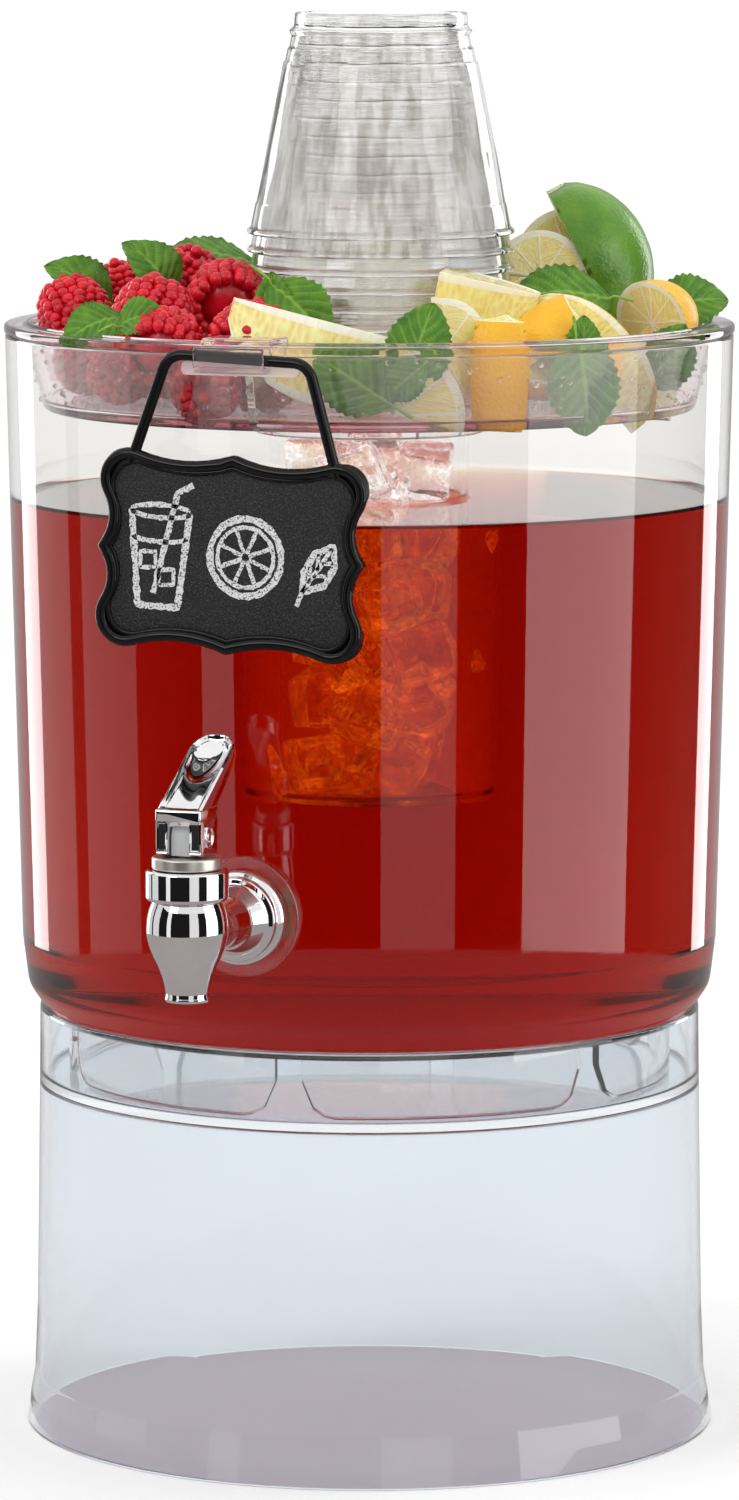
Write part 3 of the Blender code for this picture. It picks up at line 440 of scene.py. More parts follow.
def fruit_skin(name, stops, scale, rough, coat, pore=0.0, subsurface=0.0):
    """Rind or berry skin from a colour ramp over noise, with pores and a wet coat."""
    material, tree, shader = new_material(name)
    texture = noise_texture(tree, scale, 4.0)
    tinted(tree, texture, stops, shader, "Base Color")
    shader.inputs["Roughness"].default_value = rough
    shader.inputs["Specular IOR Level"].default_value = 0.35
    shader.inputs["Coat Weight"].default_value = coat
    shader.inputs["Coat Roughness"].default_value = 0.12
    if subsurface:
        shader.inputs["Subsurface Weight"].default_value = subsurface
        shader.inputs["Subsurface Radius"].default_value = (1.0, 0.4, 0.2)
        shader.inputs["Subsurface Scale"].default_value = 0.003
    if pore:
        where = node(tree, "ShaderNodeTexCoord")
        cells = node(tree, "ShaderNodeTexVoronoi", in_Scale=700.0)
        tree.links.new(where.outputs["Object"], cells.inputs["Vector"])
        bump(tree, shader, cells.outputs["Distance"], pore, 0.0004)
    return material


def cut_flesh(name, flesh, deep, pith):
    """Cut citrus: white pith and membranes where the stored tone is high, wet juice sacs elsewhere."""
    material, tree, shader = new_material(name)
    tone = node(tree, "ShaderNodeAttribute", attribute_name="tone")
    grain = node(tree, "ShaderNodeAttribute", attribute_name="grain")
    cells = node(tree, "ShaderNodeTexVoronoi", in_Scale=1.0)
    tree.links.new(grain.outputs["Vector"], cells.inputs["Vector"])
    light = tuple(min(1, c * 1.25) for c in flesh)
    juice = ramp(tree, cells.outputs["Distance"], [(0.0, deep), (0.55, flesh), (1.0, light)])
    mix = node(tree, "ShaderNodeMix", data_type="RGBA")
    sharp = ramp(tree, tone.outputs["Fac"], [(0.35, 0.0), (0.65, 1.0)])
    tree.links.new(sharp, mix.inputs["Factor"])
    tree.links.new(juice, mix.inputs["A"])
    mix.inputs["B"].default_value = (*pith, 1)
    tree.links.new(mix.outputs["Result"], shader.inputs["Base Color"])
    tinted(tree, tone, [(0.3, 0.16), (0.7, 0.55)], shader, "Roughness")
    shader.inputs["Subsurface Weight"].default_value = 0.25
    shader.inputs["Subsurface Radius"].default_value = (1.0, 0.6, 0.15)
    shader.inputs["Subsurface Scale"].default_value = 0.004
    shader.inputs["Coat Weight"].default_value = 0.35
    bump(tree, shader, cells.outputs["Distance"], 0.5, 0.0006)
    return material


def cup_material(name, depth):
    """Thin blown plastic with slanting streaks of painted shade, standing in for the dark bands of its flow
    lines.
    """
    material = clear_plastic(name, WHITE, ior=1.5, rough=0.02, wave=0.4, scale=60.0)
    tree = material.node_tree
    shader = tree.nodes["Principled BSDF"]
    # Painted shade in slanting streaks, darker with depth.
    shade_streaks = noise_texture(tree, 240.0, 2.0, (1, 1, 0.14), lean=0.6)
    dark = tuple(1 - depth * share for share in (0.93, 1.0, 1.12))
    pale = tuple(0.5 + c / 2 for c in dark)
    tinted(tree, shade_streaks, [(0.36, dark), (0.47, pale), (0.55, WHITE)], shader, "Base Color")
    return material


def chalk_panel_material():
    """Matte board with a pebbled surface and traces of wiped chalk."""
    material, tree, shader = new_material("chalkboard_panel")
    smears = noise_texture(tree, 38.0, 5.0, (1, 1, 2.2))
    shades = [(0.35, (0.010, 0.010, 0.0105)), (0.8, (0.019, 0.019, 0.0195))]
    colour = ramp(tree, smears.outputs["Fac"], shades)
    shader.inputs["Specular IOR Level"].default_value = 0.3
    grain = noise_texture(tree, 1500.0, 2.0)
    flecks = ramp(tree, grain.outputs["Fac"], [(0.42, 0.004), (0.56, 0.020), (0.66, 0.050)])
    mix = node(tree, "ShaderNodeMix", data_type="RGBA")
    mix.inputs["Factor"].default_value = 0.6
    tree.links.new(colour, mix.inputs["A"])
    tree.links.new(flecks, mix.inputs["B"])
    tree.links.new(mix.outputs["Result"], shader.inputs["Base Color"])
    tinted(tree, smears, [(0.3, 0.5), (0.8, 0.66)], shader, "Roughness")
    bump(tree, shader, grain.outputs["Fac"], 1.0, 0.0003)
    return material


def chalk_material():
    """Dry chalk, broken where the board's grain stayed clear."""
    material, tree, shader = new_material("chalk_marks")
    shader.inputs["Roughness"].default_value = 0.95
    grain = noise_texture(tree, 1500.0, 3.0)
    tinted(tree, grain, [(0.3, 0.38), (0.7, 0.62)], shader, "Base Color")
    tinted(tree, grain, [(0.36, 0.0), (0.45, 1.0)], shader, "Alpha")
    return material


def leaf_material():
    """Mint: paler veins, a darker quilted blade and a soft sheen."""
    material, tree, shader = new_material("mint_leaf")
    vein = node(tree, "ShaderNodeAttribute", attribute_name="tone")
    patches = noise_texture(tree, 120.0, 4.0)
    blade = ramp(tree, patches.outputs["Fac"], [(0.3, (0.032, 0.125, 0.004)), (0.7, (0.10, 0.26, 0.010))])
    mix = node(tree, "ShaderNodeMix", data_type="RGBA")
    tree.links.new(vein.outputs["Fac"], mix.inputs["Factor"])
    tree.links.new(blade, mix.inputs["A"])
    mix.inputs["B"].default_value = (0.25, 0.44, 0.06, 1)
    tree.links.new(mix.outputs["Result"], shader.inputs["Base Color"])
    shader.inputs["Roughness"].default_value = 0.42
    shader.inputs["Specular IOR Level"].default_value = 0.3
    fine = noise_texture(tree, 420.0, 3.0)
    bump(tree, shader, fine.outputs["Fac"], 0.8, 0.0005)
    return material


DRUM_COLOUR = (0.915, 0.905, 0.89)
STAND = clear_plastic("stand_plastic", (0.815, 0.85, 0.885), wave=0.05, scale=9.0)
DRUM = clear_plastic("drum_plastic", DRUM_COLOUR, wave=0.03)
DRUM_WET = clear_plastic("drum_plastic_wet", DRUM_COLOUR, wet=True)
TRAY = clear_plastic("tray_plastic", (0.985, 0.965, 0.97), wave=0.03, density=45.0, absorb=(0.93, 0.74, 0.78))
CORE = clear_plastic("core_plastic", (0.985, 0.99, 0.99), wave=0.04, density=4.0, absorb=(0.9, 0.92, 0.95))
# The cups' streaks are painted shade: faint on most cups and deep on one.
CUP = cup_material("cup_plastic", 0.03)
CUP_DEEP_SHADE = cup_material("cup_plastic_deep_shade", 0.34)
CLIP = clear_plastic("clip_plastic", (0.985, 0.95, 0.965), wave=0.05, density=30.0, absorb=(0.93, 0.74, 0.80))
CLIP_FROSTED = clear_plastic("clip_frosted", (0.97, 0.90, 0.93), rough=0.05, wave=0.05, cloud=0.35)
GASKET = clear_plastic(
    "gasket_silicone", (0.97, 0.93, 0.93), ior=1.41, rough=0.12, density=60.0, absorb=(0.9, 0.82, 0.8),
)
# The tea's colour is only in its volume, so thin parts go orange.
TEA = clear_plastic(
    "tea_liquid", WHITE, ior=1.333, rough=0.0, density=62.0, absorb=(0.915, 0.57, 0.0), wet=True,
)
WATER = clear_plastic("water", WHITE, ior=1.333, rough=0.0)
# The ice glows with painted light, for the light that reaches it through the drink and the core.
ICE = clear_plastic(
    "ice_blocks_painted_glow", (0.945, 0.905, 0.9), ior=1.31, rough=0.01, wave=0.8, scale=90.0, cloud=0.02, glow=0.55,
)
CHROME = solid_plastic("chrome_plate", (0.86, 0.86, 0.87), 0.015, 2000.0, 0.000001, metallic=1.0)
# Dark colour painted into the chrome lever's recesses as shade.
RECESS_SHADE = solid_plastic("recess_painted_shade", (0.02, 0.02, 0.022), 0.35, 1500.0, 0.00001, metallic=0.6)
SATIN = solid_plastic("satin_plate", (0.70, 0.66, 0.62), 0.30, 1500.0, 0.000004, metallic=1.0)
STEEL = solid_plastic("bright_steel", (0.62, 0.62, 0.61), 0.2, 1500.0, 0.000004, metallic=1.0)
STEM = solid_plastic("stem_nylon", (0.46, 0.47, 0.47), 0.38, 1200.0, 0.00001)
NUT = solid_plastic("nut_nylon", (0.85, 0.85, 0.83), 0.4, 1200.0, 0.00001)
SEAL = solid_plastic("seal_rubber", (0.035, 0.035, 0.035), 0.7, 1400.0, 0.00002)
GLOSS = solid_plastic("sign_gloss_black", (0.004, 0.004, 0.0045), 0.07, 700.0, 0.000006, shine=0.24)
PANEL = chalk_panel_material()
CHALK = chalk_material()
RASPBERRY = fruit_skin(
    "raspberry_skin",
    [(0.3, (0.42, 0.001, 0.006)), (0.55, (0.66, 0.003, 0.018)), (0.8, (0.82, 0.012, 0.045))],
    160.0, 0.27, coat=0.12, subsurface=0.25,
)
LEMON_RIND = fruit_skin(
    "lemon_rind", [(0.3, (0.80, 0.40, 0.010)), (0.7, (0.93, 0.52, 0.016))], 60.0, 0.36, coat=0.2, pore=0.5,
)
LIME_RIND = fruit_skin(
    "lime_rind", [(0.3, (0.055, 0.20, 0.006)), (0.7, (0.15, 0.33, 0.012))], 50.0, 0.3, coat=0.2, pore=0.45,
)
LEMON_FLESH = cut_flesh("lemon_flesh", (0.95, 0.82, 0.34), (0.90, 0.66, 0.15), (0.97, 0.93, 0.76))
LIME_FLESH = cut_flesh("lime_flesh", (0.62, 0.76, 0.25), (0.42, 0.60, 0.12), (0.90, 0.94, 0.72))
LEAF = leaf_material()


# ---------------------------------------------------------------- clear shells


def stand():
    lo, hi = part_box("stand_shell")
    outer = [
        (hi.x, lo.z, 0.0006), (0.1264, 0.0095, 0.004), (0.1248, 0.0185, 0.006), (0.1237, 0.044, 0.03),
        (0.1231, 0.082, 0.03), (0.1222, 0.146, 0.02), (0.1221, hi.z, 0.0010),
    ]
    inner = [
        (0.1196, hi.z, 0.0010), (0.1197, 0.1312, 0.0012), (0.0, 0.1310), (0.0, 0.1280),
        (0.1190, 0.1280, 0.0015), (0.1213, 0.044, 0.03), (0.1223, 0.0185, 0.006), (0.1240, 0.0095, 0.004),
        (0.1252, lo.z, 0.0006),
    ]
    verts, faces = lathe_mesh(rounded(outer + inner), 144)
    add_mesh("stand_body", verts, faces, STAND, "stand", "stand_clear", ["stand_shell"], AXIS)


def drum():
    """Clear drum, whose inner faces below the drink's level are wet."""
    outer = [
        (0.0, 0.1535), (0.1184, 0.1535, 0.004), (0.1262, 0.1650, 0.010), (0.1284, 0.1822, 0.016),
        (0.1336, DRUM_RIM_Z, 0.0011),
    ]
    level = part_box("tea")[1].z + MENISCUS
    share = (level - DRUM_WALL_Z) / (DRUM_RIM_Z - DRUM_WALL_Z)
    level_r = DRUM_WALL_R + (DRUM_RIM_R - DRUM_WALL_R) * share
    inner = [
        (DRUM_RIM_R, DRUM_RIM_Z, 0.0011), (level_r, level), (DRUM_WALL_R, DRUM_WALL_Z, 0.014),
        (DRUM_BEND_R, DRUM_BEND_Z, 0.009), (DRUM_CORNER_R, DRUM_FLOOR_Z, 0.003), (0.0, DRUM_FLOOR_Z),
    ]
    tabs = [foot_tab(5.0 + 60 * k) for k in range(6)]
    verts, faces = joined(lathe_mesh(rounded(outer + inner), 160), *tabs)
    made = add_mesh("drum_body", verts, faces, [DRUM, DRUM_WET], "drum", "drum_clear", ["drum_tank"], AXIS)
    for face in made.data.polygons:
        inward = face.normal.x * face.center.x + face.normal.y * face.center.y
        wall = inward < -0.0001 and 0.158 < face.center.z < level and face.center.xy.length > 0.115
        floor = face.normal.z > 0.9 and abs(face.center.z - DRUM_FLOOR_Z) < 0.0005
        face.material_index = 1 if wall or floor else 0


def foot_tab(start):
    """One curved tab under the drum, with round lower corners, between two spaces."""
    radius, thick, low, high, corner = 0.1116, 0.0030, 0.1313, 0.1540, 0.013
    half_gap = math.degrees(0.0048 / radius)
    span = math.radians(60 - 2 * half_gap) * radius
    columns = 26
    verts, faces = [], []
    grid = []
    for i in range(columns + 1):
        s = span * i / columns
        edge = min(s, span - s)
        drop = corner - math.sqrt(max(0.0, corner**2 - (corner - edge) ** 2)) if edge < corner else 0.0
        grid.append((s, low + drop))
    for s, bottom in grid:
        a = math.radians(start + half_gap) + s / radius
        for z in (high, (high + bottom) / 2, bottom + 0.0008, bottom):
            squeeze = 0.0006 if z == bottom else 0.0
            for r in (radius - squeeze, radius - thick + squeeze):
                verts.append(Vector((r * math.sin(a), -r * math.cos(a), z)))
    rows = 4
    for i in range(columns):
        for j in range(rows - 1):
            for side in range(2):
                a = (i * rows + j) * 2 + side
                b = ((i + 1) * rows + j) * 2 + side
                faces.append((a, b, b + 2, a + 2))
        a, b = (i * rows + rows - 1) * 2, ((i + 1) * rows + rows - 1) * 2
        faces.append((a, b, b + 1, a + 1))
        a, b = i * rows * 2, (i + 1) * rows * 2
        faces.append((a, b, b + 1, a + 1))
    for i in (0, columns):
        for j in range(rows - 1):
            a = (i * rows + j) * 2
            faces.append((a, a + 1, a + 3, a + 2))
    return verts, faces


def tea():
    """The drink reaches 0.2 mm into the clear walls, so it shows right out to the drum's sides."""
    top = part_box("tea")[1].z
    sink = 0.0002
    outline = rounded([
        (0.0, DRUM_FLOOR_Z - sink), (DRUM_CORNER_R + sink, DRUM_FLOOR_Z - sink, 0.003),
        (DRUM_BEND_R + sink, DRUM_BEND_Z, 0.009), (DRUM_WALL_R + sink, DRUM_WALL_Z, 0.014),
        (0.12867 + sink, top + MENISCUS), (0.1279, top + 0.0003), (0.1262, top),
        (0.0383, top), (0.0369, top + 0.0004), (0.0362 - sink, top + 0.0014),
        (CORE_LOW_R - sink, CORE_LOW_Z + sink), (0.0, CORE_LOW_Z - sink),
    ])
    verts, faces = lathe_mesh(outline, 160, closed=False)
    add_mesh("tea_body", verts, faces, TEA, "drum", "tea", ["tea"], AXIS, sharp=60)


def core():
    """Tube with a closed bottom, and the three lugs that rest on the tray's."""
    outline = rounded([
        (0.0, CORE_LOW_Z), (CORE_LOW_R, CORE_LOW_Z, 0.003), (CORE_TOP_R, CORE_TOP_Z, 0.0008),
        (0.0345, CORE_TOP_Z, 0.0008), (0.0320, 0.2395, 0.002), (0.0, 0.2395),
    ])
    verts, faces = joined(lathe_mesh(outline, 96), *bayonet_lugs(0.0366, 0.0395, 0.3710, 0.3732))
    add_mesh("core_body", verts, faces, CORE, "core", "core_clear", ["ice_core"], AXIS)


def bayonet_lugs(inner, outer, low, high):
    """Three short pieces of a ring."""
    steps, lugs = 8, []
    for third in (0, 120, 240):
        verts = []
        for i in range(steps + 1):
            a = math.radians(third + LUG_START + LUG_SPAN * i / steps)
            for r, z in ((inner, low), (outer, low), (outer, high), (inner, high)):
                verts.append(Vector((r * math.sin(a), -r * math.cos(a), z)))
        lugs.append((verts, sleeve(steps + 1, 4)))
    return lugs


def tray():
    """Flange with its bead, sloping wall, floor with the cup ring and the core's collar, dividers."""
    low, floor, skirt = TRAY_LOW_Z, TRAY_FLOOR_Z, COLLAR_LOW_Z
    outline = rounded([
        (0.1340, 0.4053, 0.0008), (0.1340, 0.4085, 0.0012), (0.1262, 0.4085, 0.0005),
        (0.1256, 0.4094, 0.0005),
        (0.1243, 0.4094, 0.0006), (0.1238, 0.4070, 0.002), (0.1171, floor, 0.0025),
        (0.0564, floor, 0.0010), (0.0564, 0.3965, 0.0011), (0.0540, 0.3965, 0.0011), (0.0540, floor, 0.0008),
        (0.0345, floor, 0.0010), (0.0345, low, 0.0006), (0.0400, low, 0.0006), (0.0400, skirt, 0.0008),
        (0.0425, skirt, 0.0008), (0.0425, low, 0.0006), (0.1195, low, 0.0020), (0.1262, 0.4053, 0.0010),
    ])
    dividers = [divider(azimuth) for azimuth in (0, 120, 240)]
    lugs = bayonet_lugs(0.0376, 0.0402, 0.3686, 0.3707)
    verts, faces = joined(lathe_mesh(outline, 160), *dividers, *lugs)
    add_mesh("tray_body", verts, faces, TRAY, "tray", "tray_clear", ["garnish_tray"], AXIS)
    drops = random.Random(11)  # droplets on the wall's outside
    parts = []
    for _ in range(420):
        z = drops.uniform(0.381, 0.403)
        r = 0.1195 + (z - TRAY_LOW_Z) / 0.0278 * 0.0067 + 0.00005  # just outside the sloping wall
        size = drops.uniform(0.0003, 0.0013) * drops.uniform(0.5, 1.0)
        parts.append(moved(ball(size, 4, 7), Matrix.Translation(polar(r, drops.uniform(0, 360), z) - AXIS)))
    verts, faces = joined(*parts)
    add_mesh("tray_droplets", verts, faces, WATER, "tray", None, (), AXIS, sharp=80)


def divider(azimuth):
    """A standing wall of the tray, from the cup ring to the outer wall, its top edge rounded."""
    half, top, low = 0.0013, 0.4020, 0.3795
    line = [(0.0562, low), (0.0562, 0.3955), (0.0600, top), (0.1232, top), (0.1176, low)]
    a = math.radians(azimuth)
    out = Vector((math.sin(a), -math.cos(a), 0))
    side = Vector((math.cos(a), math.sin(a), 0))
    verts, faces = [], []
    for sign in (-1, 1):
        for r, z in line:
            verts.append(out * r + side * half * sign + Vector((0, 0, z - (0.0006 if z == top else 0))))
    for r, z in line[1:4]:
        verts.append(out * r + Vector((0, 0, z)))
    n = len(line)
    faces.append(tuple(range(n)))
    faces.append(tuple(n + i for i in range(n)))
    faces.append((0, n - 1, 2 * n - 1, n))
    for i, j in ((0, 1), (3, 4)):
        faces.append((i, j, n + j, n + i))
    top_row = [2 * n, 2 * n + 1, 2 * n + 2]
    for k, (i, j) in enumerate(((1, 2), (2, 3))):
        faces.append((i, j, top_row[k + 1], top_row[k]))
        faces.append((n + i, n + j, top_row[k + 1], top_row[k]))
    faces.append((1, top_row[0], n + 1))
    faces.append((3, n + 3, top_row[2]))
    return verts, faces


def cups():
    """Ten nested party cups, upside down: rolled lip, thin wall, stacking ridges and a foot ring."""
    height, lip, wall = 0.0806, 0.0491, 0.0005

    def side(z):
        return lip - 0.0009 - 0.2015 * z

    outline = [
        (lip - 0.0008, 0.0000), (lip - 0.0001, 0.0004), (lip, 0.0011), (lip - 0.0003, 0.0018),
        (lip - 0.0010, 0.0022),
        (side(0.0026), 0.0026), (side(0.0110), 0.0110), (side(0.0114) - 0.0003, 0.0114),
        (side(0.030), 0.0300),
        (side(0.052), 0.0520), (side(0.0625), 0.0625), (side(0.0631) - 0.0006, 0.0631),
        (side(0.0675) - 0.0006, 0.0675),
        (side(0.0681) - 0.0011, 0.0681), (side(0.0720) - 0.0011, 0.0720), (0.0335, 0.0742), (0.0322, 0.0752),
        (0.0317, 0.0762), (0.0315, 0.0800), (0.0312, height), (0.0307, height), (0.0305, 0.0798),
        (0.0302, 0.0768),
        (0.0298, 0.0762), (0.0, 0.0764),
    ]
    inside = [(max(0.0, r - wall), z - 0.0002) for r, z in outline[5:19]]
    inside = [(r, z) for r, z in reversed(inside) if z < 0.0755]
    inner = [(0.0, 0.0759), (0.0296, 0.0757), *inside, (lip - 0.0017, 0.0020), (lip - 0.0014, 0.0006)]

    def flutes(a, z):
        return 0.00010 * math.sin(5 * a + z * 90) + 0.00007 * math.sin(17 * a - z * 210)

    verts, faces = lathe_mesh(outline + inner, 96, shape=flutes)
    first = shade_copy = None
    for i in range(10):
        name = f"cup_{i + 1:02d}"
        lo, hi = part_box(name)
        origin = Vector(((lo.x + hi.x) / 2, (lo.y + hi.y) / 2, hi.z - height))
        body = "top_cup" if i == 9 else "cup_stack"
        turn = Matrix.Rotation(i * 0.9, 3, "Z")
        where = (body, "cup_clear", [name], origin, turn)
        if first is None:
            first = add_mesh(f"party_{name}", verts, faces, CUP, *where, sharp=45)
            # The ninth cup takes the copy with deeper painted shade.
            shade_copy = first.data.copy()
            shade_copy.materials[0] = CUP_DEEP_SHADE
        else:
            add_piece(f"party_{name}", shade_copy if i == 8 else first.data, *where)


# ---------------------------------------------------------------- sign and clip


def scallop(cusp, lobe, radius, lobe_r, steps):
    """Points on the hollow arc from a cusp to the round corner lobe that it meets smoothly."""
    cusp, lobe = Vector(cusp), Vector(lobe)
    line = lobe - cusp
    along = (radius**2 - (radius + lobe_r) ** 2 + line.length_squared) / (2 * line.length)
    across = math.sqrt(radius**2 - along**2)
    unit = line.normalized()
    options = [cusp + unit * along + Vector((-unit.y, unit.x)) * side * across for side in (1, -1)]
    centre = max(options, key=lambda option: option.length)
    touch = centre + (lobe - centre).normalized() * radius
    start, end = cusp - centre, touch - centre
    turn = math.atan2(start.x * end.y - start.y * end.x, start.dot(end))
    return [tuple(centre + Matrix.Rotation(turn * i / steps, 2) @ start) for i in range(steps + 1)]


def board_outline(inset):
    """The sign's scalloped outline, drawn in by an inset."""
    steps = 8
    half_width, half_height, lobe_r = 0.050 - inset, SIGN_HALF_HEIGHT - inset, 0.009
    lobe = (half_width - lobe_r, half_height - lobe_r)
    upper = scallop((0, half_height), lobe, 0.0555, lobe_r, steps)
    side = scallop((half_width, 0), lobe, 0.0165, lobe_r, steps)
    start = Vector(upper[-1]) - Vector(lobe)
    end = Vector(side[-1]) - Vector(lobe)
    turn = -(math.tau - start.angle(end)) if start.angle(end) < math.pi / 3 else -start.angle(end)
    angles = [turn * i / (2 * steps) for i in range(1, 2 * steps)]
    corner = [tuple(Vector(lobe) + Matrix.Rotation(angle, 2) @ start) for angle in angles]
    quarter = upper + corner + side[::-1]
    right = quarter + [(x, -y) for x, y in reversed(quarter[:-1])]
    return right + [(-x, y) for x, y in reversed(right[1:-1])]


def sign():
    """Scalloped frame with a raised rim and its loop, the board in it, and chalk drawings."""
    drop, thick = SIGN_DROP, 0.0036
    upright = spin((math.radians(2.5), "Y"), (math.radians(90), "X"))
    down = Matrix.Translation((0, -drop, thick / 2))
    plate = slab_mesh(board_outline(0.0004), thick - 0.0006, 0.0008)
    plate = moved(plate, Matrix.Translation((0, -drop, thick / 2 - 0.0006 - 0.0014)))
    border = [Vector((x, y, -0.0016)) for x, y in board_outline(0.0021)]
    rim = moved(tube_mesh(border, 0.0021, 14, closed=True), down)
    inner = [Vector((x, y, -0.0014)) for x, y in board_outline(0.0047)]
    step = moved(tube_mesh(inner, 0.0009, 8, closed=True), down)
    foot = -(drop - SIGN_HALF_HEIGHT) - 0.005
    corners = [(-0.0385, foot), (-0.0262, 0, 0.0075), (0.0262, 0, 0.0075), (0.0385, foot)]
    path = rounded(corners, steps=9)
    loop = tube_mesh([Vector((x, y, 0)) for x, y in path], 0.0020, 16)
    verts, faces = joined(plate, rim, step, loop)
    place = (HINGE, upright)
    add_mesh("sign_board", verts, faces, GLOSS, "sign", "sign_gloss", ["sign_frame"], *place, sharp=50)
    panel = slab_mesh(board_outline(0.0045), 0.0010, 0.0002)
    panel = moved(panel, Matrix.Translation((0, -drop, thick / 2 - 0.0017)))
    add_mesh("sign_panel", *panel, PANEL, "sign", "chalkboard", ["chalk_panel"], *place, sharp=50)
    strokes = []
    chance = random.Random(5)

    def stroke(points, width):
        """A chalk line of uneven width."""
        points = [(x * 1.14, y * 1.16 - 0.0015) for x, y in points]
        width *= 1.5
        smooth = []
        for a, b in zip(points, points[1:]):
            steps = max(1, int((Vector(b) - Vector(a)).length / 0.0012))
            smooth += [Vector(a).lerp(Vector(b), k / steps) for k in range(steps)]
        smooth.append(Vector(points[-1]))
        verts = []
        for i, p in enumerate(smooth):
            along = (smooth[min(i + 1, len(smooth) - 1)] - smooth[max(i - 1, 0)]).normalized()
            wide = width * (1 + chance.uniform(-0.22, 0.22))
            side = Vector((-along.y, along.x)) * wide / 2
            shake = Vector((chance.uniform(-1, 1), chance.uniform(-1, 1))) * 0.00012
            for q in (p + side + shake, p - side + shake):
                verts.append(Vector((q.x, q.y - drop, thick / 2 - 0.00163)))
        strokes.append((verts, strips(len(smooth), 2, wrap=False)))

    def arc(cx, cy, rx, ry, start, end, steps=26):
        turns = [math.radians(start + (end - start) * k / steps) for k in range(steps + 1)]
        return [(cx + rx * math.cos(a), cy + ry * math.sin(a)) for a in turns]

    stroke([(-0.0330, 0.0130), (-0.0300, -0.0160), (-0.0168, -0.0160), (-0.0138, 0.0130)], 0.0016)
    stroke(arc(-0.0234, 0.0130, 0.0096, 0.0020, 0, 360), 0.0012)
    stroke(arc(-0.0234, 0.0052, 0.0088, 0.0015, 180, 360), 0.0011)
    stroke([(-0.0250, -0.0120), (-0.0180, 0.0190), (-0.0130, 0.0215)], 0.0015)
    for x, y, r in ((-0.0270, -0.0020, 0.0026), (-0.0208, -0.0070, 0.0025)):
        start = (x - r, y - r)
        stroke([start, (x + r, y - r * 0.8), (x + r * 0.9, y + r), (x - r, y + r * 0.9), start], 0.0010)
    stroke(arc(0.0050, 0.0010, 0.0118, 0.0118, 0, 360), 0.0016)
    stroke(arc(0.0050, 0.0010, 0.0092, 0.0092, 10, 370), 0.0010)
    for k in range(8):
        a = math.radians(22.5 + 45 * k)
        spoke = [(0.0050 + r * math.cos(a), 0.0010 + r * math.sin(a)) for r in (0.0012, 0.0085)]
        stroke(spoke, 0.0010)
    edge = [
        (0, 0), (0.0002, 0.0060), (0.0036, 0.0118), (0.0098, 0.0146), (0.0102, 0.0080), (0.0070, 0.0024),
        (0, 0),
    ]
    stroke([(0.0240 + x, -0.0080 + y) for x, y in edge], 0.0015)
    stroke([(0.0222, -0.0125), (0.0240, -0.0080), (0.0300, 0.0010), (0.0332, 0.0058)], 0.0012)
    veins = [
        (0.0258, -0.0052, 0.0004, 0.0050), (0.0286, -0.0012, 0.0002, 0.0052),
        (0.0272, -0.0030, 0.0044, 0.0004),
        (0.0300, 0.0010, 0.0038, 0.0004),
    ]
    for x, y, dx, dy in veins:
        stroke([(x, y), (x + dx, y + dy)], 0.0009)
    verts, faces = joined(*strokes)
    add_mesh("sign_chalk", verts, faces, CHALK, "sign", None, (), *place)


def clip():
    """A strip bent over the flange with a hook for the sign's bar, and a frosted skirt under it."""
    top, wide = 0.4111, 0.026
    back, front = 0.1346, 0.1368
    line = [
        (0.1186, 0.4026, 0.0006), (0.1186, top, 0.0012), (front, top, 0.0018), (front, 0.4016, 0.0004),
        (0.1430, 0.4016, 0.0004), (0.1430, 0.4085, 0.0006), (0.1448, 0.4085, 0.0008),
        (0.1448, 0.3994, 0.0016),
        (back, 0.3994, 0.0008), (back, 0.4089, 0.0004), (0.1204, 0.4089, 0.0004), (0.1204, 0.4026, 0.0006),
    ]
    section = rounded(line)
    verts = []
    levels = [(-wide / 2, 0.0003), (-wide / 2 + 0.0003, 0), (wide / 2 - 0.0003, 0), (wide / 2, 0.0003)]
    count = len(section)
    for x, inset in levels:
        for i, (r, z) in enumerate(section):
            t = (Vector(section[(i + 1) % count]) - Vector(section[i - 1])).normalized()
            verts.append(Vector((x, -(r + t.y * inset), z - t.x * inset)))
    left, right, low, high, corner = -0.0205, 0.0235, 0.3982, 0.4030, 0.0018
    edge = [(left, low, corner), (right, low, corner), (right, high, corner), (left, high, corner)]
    skirt = slab_mesh(rounded(edge, 5), 0.0022, 0.0005)
    skirt = moved(skirt, Matrix.Translation((0, -front - 0.0001, 0)) @ FRONT_TURN)
    add_mesh("clip_body", verts, sleeve(len(levels), count), CLIP, "clip", "clip_clear", ["sign_clip"], AXIS)
    add_mesh("clip_skirt", *skirt, CLIP_FROSTED, "clip", "clip_clear", (), AXIS)


# ---------------------------------------------------------------- spigot


